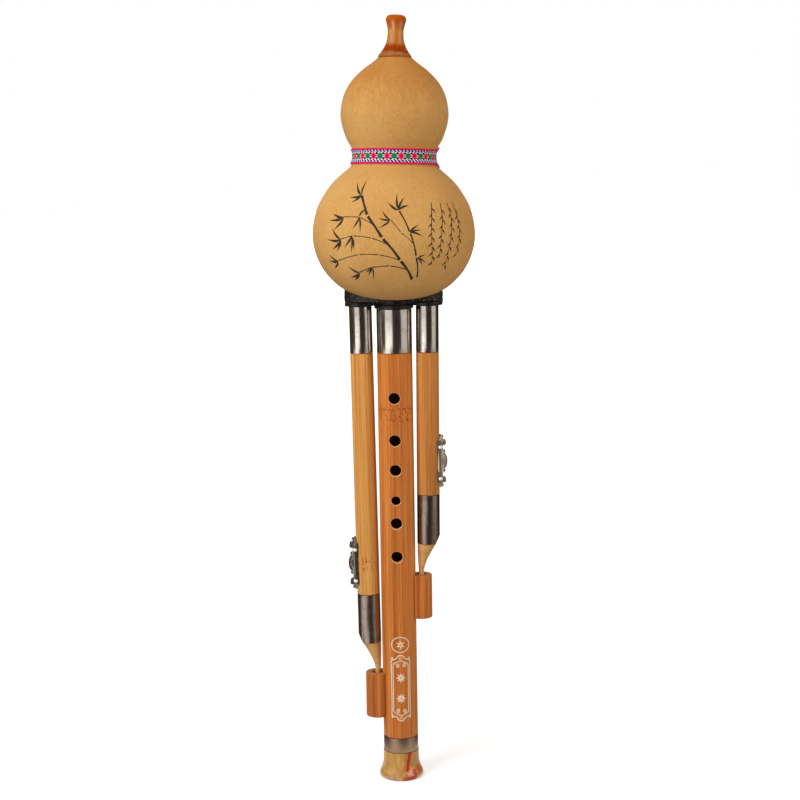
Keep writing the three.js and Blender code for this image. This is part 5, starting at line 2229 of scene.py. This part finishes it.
    def _pad_slot(self) -> Mesh:
        """A cutter for the long hole that the pad slides in."""
        half, low = self.pad_radius + self.gap, self.pipe_radius * 0.5
        ring = [
            (low, half * math.cos(turn), half * math.sin(turn) + math.copysign(self.travel, math.sin(turn)))
            for turn in spread(40, 0.5)
        ]
        return prism(ring, (self.pipe_radius, 0, 0))

    def _nail_spot(self, end: int) -> Matrix:
        """The frame of a nail, whose +Z points away from the drone."""
        return shifted(0, 0, end * (self._shoulder() + self.gap + self.nail_head)) @ SIDE_ON

    def _nail_hole(self, end: int) -> Mesh:
        """A cutter for a nail's hole."""
        return move(rod(self.nail_radius + 0.1 * MM, 0, self._deck() + OVERRUN, 20), self._nail_spot(end))

    def _scroll(self, end: int) -> Mesh:
        """A rolled end of the plate: a spiral strip with its eye in the middle.

        Args:
            end: 1 for the upper end, -1 for the lower.

        Returns:
            The rolled end.
        """
        bm = bmesh.new()
        edge = None
        steps = 46
        half = self.scroll_width / 2
        middle = Vector((self._deck() + self.scroll_radius - self.scroll_sink, 0, end * self.scroll_spacing / 2))
        for step in range(steps + 1):
            share = step / steps
            reach = (self.scroll_radius - self.strip_thickness / 2) * (1 - 0.62 * share)
            turn = math.pi + end * math.tau * self.scroll_turns * share
            flare = Vector((0, half * (1 - 0.12 * share), 0))
            point = middle + Vector((reach * math.cos(turn), 0, reach * math.sin(turn)))
            edge = _next_edge(bm, edge, [point - flare, point + flare])
        bmesh.ops.recalc_face_normals(bm, faces=bm.faces)
        bmesh.ops.solidify(bm, geom=list(bm.faces), thickness=self.strip_thickness)
        bmesh.ops.recalc_face_normals(bm, faces=bm.faces)
        return merge([bm, self._knob(middle, self.eye_radius, half + 0.1 * MM)])

    def _knob(self, middle: Vector, radius: float, half: float) -> Mesh:
        """A short cross rod with rounded ends."""
        outline = rounded([(0, -half), (radius, -half), (radius, half), (0, half)], radius * 0.98, 7)
        return move(lathe(outline, 32), Matrix.Translation(middle) @ turned(90, "X"))

    def _roll(self, end: int) -> Mesh:
        """The second, smaller roll that lies against the pipe, with a boss at each of its ends.

        Args:
            end: 1 for the upper end, -1 for the lower.

        Returns:
            The roll.
        """
        middle = Vector((self._deck() - self.roll_radius, 0, end * self.scroll_spacing / 2))
        half = self.roll_width / 2
        body = self._knob(middle, self.roll_radius, half)
        boss = self._knob(middle, self.roll_radius * 0.45, half + self.boss)
        return self._on_bed(merge([body, boss]))

    def _beads(self, end: int) -> list[Mesh]:
        """Two beads on the plate's sides, next to a rolled end.

        Args:
            end: 1 for the upper end, -1 for the lower.

        Returns:
            The beads.
        """
        across = self.half_width - self.bead_radius + self.bead_out
        rise = end * self.scroll_spacing * (self.upper_bead_share if end > 0 else self.lower_bead_share)
        out = self._deck() - self.bead_radius
        # The beads take the plate's second finish, a near-white nickel that paints their highlights.
        return [mark(ball(self.bead_radius, 3, (out, side * across, rise)), Layer.CUT) for side in (-1, 1)]

    def _nail(self, end: int) -> Mesh:
        """A nail with a domed head.

        Args:
            end: 1 for the upper end, -1 for the lower.

        Returns:
            The nail.
        """
        seat = self._bed() + self.gap + self.tab_thickness
        point = self.pipe_radius - self.nail_depth
        dome = [
            (self.nail_head * math.cos(turn), seat + self.nail_head * math.sin(turn))
            for turn in (math.pi / 2 * step / 8 for step in range(8))
        ]
        shank = [(0, point), (self.nail_radius * 0.6, point), (self.nail_radius, point + 0.5 * MM)]
        outline = [*shank, (self.nail_radius, seat), *dome, (0, seat + self.nail_head)]
        return move(lathe(outline, 32), self._nail_spot(end))

    def _slider(self) -> Mesh:
        """The slider: an oval dome with a moulded rim and a ring of beads, and a lobe at each end."""
        seat = self._deck() + self.gap
        reach, height = self.dome_radius, self.dome_height
        shell = [Vector((out * reach, seat + up * height)) for out, up in self.dome_shares]
        parts = [move(lathe([*shell[:2], *smooth_line(shell[2:], 40)], 80), SIDE_ON)]
        ring, level = 0.915 * reach, seat + 0.4 * height
        for turn in spread(self.rim_beads):
            parts.append(ball(self.rim_bead_radius, 2, (level, ring * math.cos(turn), ring * math.sin(turn))))
        rise = reach + self.lobe_radius - self.lobe_overlap
        lobe = [(out * self.lobe_radius, seat + up * self.lobe_height) for out, up in self.lobe_shares]
        for end in (-1, 1):
            spin = lathe(rounded([(0, seat), *lobe], 0.12 * MM, 3), 36)
            parts.append(move(spin, shifted(0, 0, end * rise) @ SIDE_ON))
        return move(merge(parts), Matrix.Diagonal((1, self.dome_share, 1, 1)))


@dataclass
class PipeEnd:
    """The end of a pipe inside the gourd: its tenon, seal, reed tube, free reed and cap."""

    prefix: str
    body: Body
    matrix: Matrix
    sleeve_radius: float
    pipe_bore: float
    spigot: float
    flange: float
    step: float
    wall: float
    bore: float
    tube_length: float
    tube_wall: float
    flat_depth: float
    flat_rise: float
    window_width: float
    window_margin: float
    plate_width: float
    plate_thickness: float
    plate_margin: float
    tongue_base: float
    tongue_margin: float
    cap_height: float
    cap_plug: float
    length: float = 20.0 * MM
    socket: float = 13.0 * MM
    groove: float = 8.0 * MM
    groove_width: float = 3.0 * MM
    groove_depth: float = 0.8 * MM
    slit: float = 0.25 * MM
    edge: float = 0.2 * MM
    gap: float = 0.3 * MM

    def build(self) -> None:
        """Build the five pieces of the pipe's end."""
        tenon = self.sleeve_radius - self.step
        radius = tenon - self.wall - self.gap
        low = self.length - self.socket + self.gap
        high = low + self.tube_length
        self._add("tenon", self._tenon(tenon), "black_resin", "black_resin")
        inner = tenon - self.groove_depth + self.gap
        foot, top = self.groove + self.gap, self.groove + self.groove_width - self.gap
        seal = ring_line([(inner, foot), (tenon, foot), (tenon, top), (inner, top)], self.edge)
        self._add("tenon_seal", lathe(seal, 72, closed=True), "cork", "cork")
        self._add("reed_tube", self._tube(radius, low, high), "reed_tube_bamboo", "cut_bamboo")
        self._add("reed", self._reed(radius, high), "brass", "brass")
        rim = high + self.gap
        plug = radius - self.tube_wall - self.gap
        foot, top = high - self.cap_plug, rim + self.cap_height
        cap = [(0, foot), (plug, foot), (plug, rim), (radius, rim), (radius, top), (0, top)]
        self._add("reed_tube_cap", lathe(rounded(cap, 0.25 * MM), 64), "cork", "cork")

    def _add(self, part: str, bm: Mesh, finish: str, slot: str) -> None:
        """Add one piece of the end, named after its node."""
        name = f"{self.prefix}_{part}"
        add_piece(name + "_piece", move(bm, self.matrix), self.body, [shared(finish)], [name])

    def _tenon(self, tenon: float) -> Mesh:
        """The tenon with its flange, spigot, seal groove and socket.

        Args:
            tenon: Its outer radius.

        Returns:
            The tenon.
        """
        flange_foot = -self.gap - self.flange
        foot = flange_foot - self.spigot
        spigot = self.pipe_bore - self.gap
        inner, groove = tenon - self.wall, tenon - self.groove_depth
        groove_top, socket_foot = self.groove + self.groove_width, self.length - self.socket
        outline = [
            (self.bore, foot), (spigot, foot), (spigot, flange_foot), (self.sleeve_radius, flange_foot),
            (self.sleeve_radius, -self.gap), (tenon, -self.gap), (tenon, self.groove), (groove, self.groove),
            (groove, groove_top), (tenon, groove_top), (tenon, self.length), (inner, self.length),
            (inner, socket_foot), (self.bore, socket_foot),
        ]
        return lathe(ring_line(outline, self.edge), 80, closed=True)

    def _flat(self, high: float) -> tuple[float, float]:
        """Heights of the flat that carries the reed."""
        return self.length + self.flat_rise, high - self.cap_height

    def _tube(self, radius: float, low: float, high: float) -> Mesh:
        """The reed tube with its flat and window.

        Args:
            radius: Its outer radius.
            low: Height of its foot.
            high: Height of its top.

        Returns:
            The tube.
        """
        inner = radius - self.tube_wall
        tube = lathe([(inner, low), (radius, low), (radius, high), (inner, high)], 72, closed=True)
        flat_low, flat_high = self._flat(high)
        reach = radius + OVERRUN
        flat = block((-reach, -reach, flat_low), (reach, -radius + self.flat_depth, flat_high))
        half = self.window_width / 2
        window = block((-half, -reach, flat_low + self.window_margin), (half, 0, flat_high - self.window_margin))
        return carve(tube, [flat, window])

    def _reed(self, radius: float, high: float) -> Mesh:
        """The reed plate with its pointed tongue, cut free on two sides.

        Args:
            radius: Outer radius of the reed tube.
            high: Height of the tube's top.

        Returns:
            The reed.
        """
        flat_low, flat_high = self._flat(high)
        back = -radius + self.flat_depth - self.gap
        half, front = self.plate_width / 2, back - self.plate_thickness
        plate = block((-half, front, flat_low + self.plate_margin), (half, back, flat_high - self.plate_margin))
        inset = self.window_margin + self.tongue_margin
        root, tip = flat_low + inset, flat_high - inset
        base = self.tongue_base / 2
        corners = [(-base - self.slit, root), (-base, root), (0, tip - self.slit), (base, root),
                   (base + self.slit, root), (0, tip + self.slit)]
        ring = [(across, back + OVERRUN, up) for across, up in corners]
        return carve(plate, [prism(ring, (0, -self.plate_thickness - 2 * OVERRUN, 0))])


MADE: dict[str, bpy.types.Material] = {}


def shared(name: str) -> bpy.types.Material:
    """A finish that several pieces use, made when it is first asked for.

    Args:
        name: The finish's name in the list.

    Returns:
        The finish.
    """
    recipes = {
        "right_nickel": AgedNickel("right_nickel", "cab7a2", bare=0.98),
        # The left key's nickel is a darker copy of the right key's: painted shade.
        "left_nickel": AgedNickel("left_nickel", "7f7264"),
        # Near-white, barely metallic nickel on the keys' beads: painted highlights.
        "bead_painted_highlight": AgedNickel("bead_painted_highlight", "fffaf4", 0.2, 0.15),
        "steel": Metal("polished_steel", "c9c1b8", "aea497", 0.17, 0.12, (1, 1, 0.1)),
        "black_resin": BlackResin("turned_black_resin", 0.15),
        "black_sealant": BlackResin("black_sealant", 1.0),
        "hole_rim": CutBamboo("hole_rim", "c08a58", "e6bd92"),
        "cork": Grained("pressed_cork", "8a6238", "c09460", 900),
        "leather": Grained("pad_leather", "4e3323", "7d5740", 1500),
        "brass": Metal("rolled_brass", "c29a4c", "8f6c2e", 0.28, 0.1, (1, 1, 0.1)),
        "reed_tube_bamboo": CutBamboo("reed_tube_skin", "9c6a38", "c8985e"),
    }
    if name not in MADE:
        MADE[name] = recipes[name].material()
    return MADE[name]


# Studio


class Zone(Enum):
    """Where a card stands: its section from the outside in, (distance from the axis, height)."""

    HIGH = ((1.3, 3.0), (1.3, 0.42))
    UPPER = ((1.3, 0.42), (1.3, 0.01), (0.95, 0.0075))
    FAR = ((0.95, 0.0075), (0.22, 0.0018))
    NEAR = ((0.22, 0.0018), (0.06, 0.0005))


@dataclass(frozen=True)
class Lamp:
    """A soft lamp: its name, place, width and height, power in watts and colour."""

    name: str
    spot: tuple[float, float, float]
    size: tuple[float, float]
    power: float
    colour: tuple[float, float, float] = (1, 1, 1)

    def build(self, target: Vector) -> None:
        """Set the lamp up, turned to a target.

        Args:
            target: The place that it is turned to.
        """
        data = bpy.data.lights.new(self.name, "AREA")
        data.shape = "RECTANGLE"
        data.size, data.size_y = self.size
        data.energy = self.power
        data.color = self.colour
        lamp = bpy.data.objects.new(self.name, data)
        lamp.location = self.spot
        lamp.rotation_euler = (target - Vector(self.spot)).to_track_quat("-Z", "Y").to_euler()
        lamp.visible_glossy = False
        bpy.context.scene.collection.objects.link(lamp)


@dataclass(frozen=True)
class Card:
    """A card that only gloss shows, between two turns from the front in degrees towards +X."""

    side: str
    start: float
    end: float
    colour: str

    def build(self, zone: Zone) -> None:
        """Set the card up in a zone.

        Args:
            zone: The zone.
        """
        name = f"{zone.name.lower()}_{self.side}_card"
        bm = bmesh.new()
        turn = math.radians(self.start)
        verts = [bm.verts.new((out * math.sin(turn), -out * math.cos(turn), up)) for out, up in zone.value]
        edges = [bm.edges.new(pair) for pair in zip(verts, verts[1:])]
        angle = math.radians(self.end - self.start)
        bmesh.ops.spin(bm, geom=[*verts, *edges], cent=(0, 0, 0), axis=(0, 0, 1), angle=angle, steps=24)
        glow = {"Emission_Color": tint(self.colour), "Emission_Strength": 1.0}
        card = add_object(name, bm, [Sheet(name + "_cloth").shade(tint("000000"), 1.0, **glow)])
        for ray in ("camera", "diffuse", "transmission", "volume_scatter", "shadow"):
            setattr(card, "visible_" + ray, False)


@dataclass
class Studio:
    """The floor, the background, the lamps, the cards and the camera."""

    eye: tuple[float, float, float] = (4.8 * MM, -889.0 * MM, 342.6 * MM)
    ahead: tuple[float, float, float] = (-0.0024, 0.9912, -0.1322)
    above: tuple[float, float, float] = (0.0161, 0.1323, 0.9911)
    lens: float = 70.2
    sensor: float = 36.0
    target: tuple[float, float, float] = (0, 0, 0.23)
    floor_drop: float = 0.02 * MM
    lamps: Sequence[Lamp] = (
        Lamp("key_lamp", (-1.18, -1.14, 1.0), (0.9, 1.2), 23),
        Lamp("fill_lamp", (1.5, -0.75, 0.6), (0.6, 1.2), 7.5, (1, 0.8, 0.5)),
        Lamp("top_lamp", (-0.2, 0.1, 1.7), (1.2, 1.2), 4),
    )
    high_cards: Sequence[Card] = (
        Card("front", -15, 42, "3c3530"), Card("right", 92, 178, "a08c74"), Card("left", -178, -88, "a08c74")
    )
    even_cards: Sequence[Card] = (
        Card("front", -12, 46, "3c3530"), Card("side", 46, 92, "e7e2dd"),
        Card("right", 92, 178, "382e26"), Card("left", -178, -60, "4a3f36"),
    )
    far_cards: Sequence[Card] = (
        Card("front", -28, 32, "3c3530"), Card("side", 32, 96, "a8a098"),
        Card("right", 96, 178, "4a3f36"), Card("left", -178, -86, "4a3f36"),
    )

    def build(self) -> None:
        """Set the stage round the object."""
        scene = bpy.context.scene
        scene.view_settings.view_transform = "Standard"
        self._build_world(scene)
        self._build_floor()
        for lamp in self.lamps:
            lamp.build(Vector(self.target))
        for zone, cards in (
            (Zone.HIGH, self.high_cards),
            (Zone.UPPER, self.even_cards),
            (Zone.NEAR, self.even_cards),
            (Zone.FAR, self.far_cards),
        ):
            for card in cards:
                card.build(zone)
        self._build_camera(scene)

    def _build_world(self, scene: bpy.types.Scene) -> None:
        """White for the eye and for gloss, and a plain grey for the light on the object.

        Args:
            scene: The scene to light.
        """
        world = bpy.data.worlds.new("studio")
        sheet = Sheet("studio", world)
        seen, gloss, passing = (sheet.ray(kind) for kind in ("Camera", "Glossy", "Transmission"))
        either = sheet.math("MAXIMUM", sheet.math("MAXIMUM", seen, gloss), passing)
        level = sheet.node("ShaderNodeMapRange", {}, {"Value": either, "To Min": 0.5, "To Max": 1.0})
        sheet.close(sheet.node("ShaderNodeBackground", {}, {"Color": (1, 1, 1, 1), "Strength": level}))
        scene.world = world

    def _build_floor(self) -> None:
        """A pale floor that keeps the object's shadow."""
        sheet = Sheet("floor_paper")
        east, north, _ = sheet.split(sheet.where())
        away = sheet.step((east * east + north * north) ** 0.5, 0.3, 3.0)
        seen = sheet.step(sheet.ray("Camera") + sheet.ray("Glossy"), 0, 1)
        glow = sheet.mix(seen, "000000", sheet.mix(away, "b0b0b0", "ffffff"))
        paper = sheet.mix(seen, "b4b4b4", "e6e6e6")
        finish = sheet.shade(paper, 1.0, Emission_Color=glow, Emission_Strength=1.0)
        bm = bmesh.new()
        bmesh.ops.create_grid(bm, x_segments=1, y_segments=1, size=30)
        floor = add_object("floor", bm, [finish])
        floor.location.z = -self.floor_drop

    def _build_camera(self, scene: bpy.types.Scene) -> None:
        """The camera at the photograph's place.

        Args:
            scene: The scene to look at.
        """
        data = bpy.data.cameras.new("camera")
        data.lens = self.lens
        data.sensor_width = self.sensor
        data.clip_start, data.clip_end = 0.01, 100
        camera = bpy.data.objects.new("camera", data)
        ahead = Vector(self.ahead).normalized()
        right = ahead.cross(Vector(self.above)).normalized()
        turn = Matrix((right, right.cross(ahead), -ahead)).transposed().to_4x4()
        camera.matrix_world = Matrix.Translation(self.eye) @ turn
        scene.collection.objects.link(camera)
        scene.camera = camera


def in_mm(**sizes: float) -> dict[str, float]:
    """Sizes in metres from sizes in millimetres."""
    return {name: size * MM for name, size in sizes.items()}


def build_ends(seat: float, drones: Sequence[DroneFrame]) -> None:
    """Build the ends of the pipes inside the gourd.

    Args:
        seat: Height of the finger-hole pipe's collar.
        drones: The frames of the two drones.
    """
    wide = in_mm(
        sleeve_radius=9, pipe_bore=6.6, spigot=12, flange=8.4, step=0.6, wall=2.5, bore=4.8, tube_length=48.7,
        tube_wall=1.2, flat_depth=0.6, flat_rise=4, window_width=3.2, window_margin=4, plate_width=6.4,
        plate_thickness=0.5, plate_margin=1, tongue_base=2.4, tongue_margin=1.5, cap_height=2, cap_plug=4,
    )
    narrow = in_mm(
        sleeve_radius=5.45, pipe_bore=4.2, spigot=10, flange=7, step=0.15, wall=1.6, bore=2.8, tube_length=33,
        tube_wall=1, flat_depth=0.5, flat_rise=0.8, window_width=2.2, window_margin=3.2, plate_width=4.2,
        plate_thickness=0.4, plate_margin=0.75, tongue_base=1.7, tongue_margin=1, cap_height=1.6, cap_plug=3,
        groove_width=2.6,
    )
    PipeEnd("main", Body.PIPE, shifted(0, 0, seat), **wide).build()
    for drone in drones:
        PipeEnd(drone.prefix, drone.body, drone.matrix(), **narrow).build()


def main() -> None:
    """Build the studio and every sub-assembly."""
    logging.basicConfig(level=logging.INFO, format="%(name)s %(message)s")
    shape = GourdShape()
    pipe = FingerPipe()
    drone_z = pipe.seat + 1.6 * MM
    left = DroneFrame(
        "left", -1, seat_z=drone_z, bamboo=("bd7630", "d6984d", "e6b068"), dark_steel=("9c8e81", "7f7165"),
        body=Body.LEFT_DRONE, key_body=Body.LEFT_KEY, knot=-147.0 * MM,
        **in_mm(seat_x=19.2, stub_x=17, stub_z=63.3, ferrule_foot=-196.7, key_middle=-149.7),
    )
    right = DroneFrame(
        "right", 1, seat_z=drone_z, bamboo=("a35f25", "c27d39", "d69650"), dark_steel=("8f8175", "706359"),
        body=Body.RIGHT_DRONE, key_body=Body.RIGHT_KEY, knot=None,
        **in_mm(seat_x=19, stub_x=17.8, stub_z=121.5, ferrule_foot=-138.5, key_middle=-90.2),
    )
    drones = (left, right)
    stubs = (
        Stub("left", -1, **in_mm(radius=6.85, top=63.3, length=26.3)),
        Stub("right", 1, **in_mm(radius=6.4, top=121.5, length=25.5)),
    )
    Studio().build()
    Gourd(shape).build(drones, pipe.seat)
    Mouthpiece(shape).build()
    WaistRibbon(shape).build()
    Collars(shape, pipe.seat).build(drones)
    pipe.build(stubs)
    for drone in drones:
        Drone(drone).build()
        DroneKey(drone).build()
        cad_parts[drone.prefix + "_key_pad"].data.materials[0] = shared("leather")
    build_ends(pipe.seat, drones)
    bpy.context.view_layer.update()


if __name__ == "__main__":
    main()
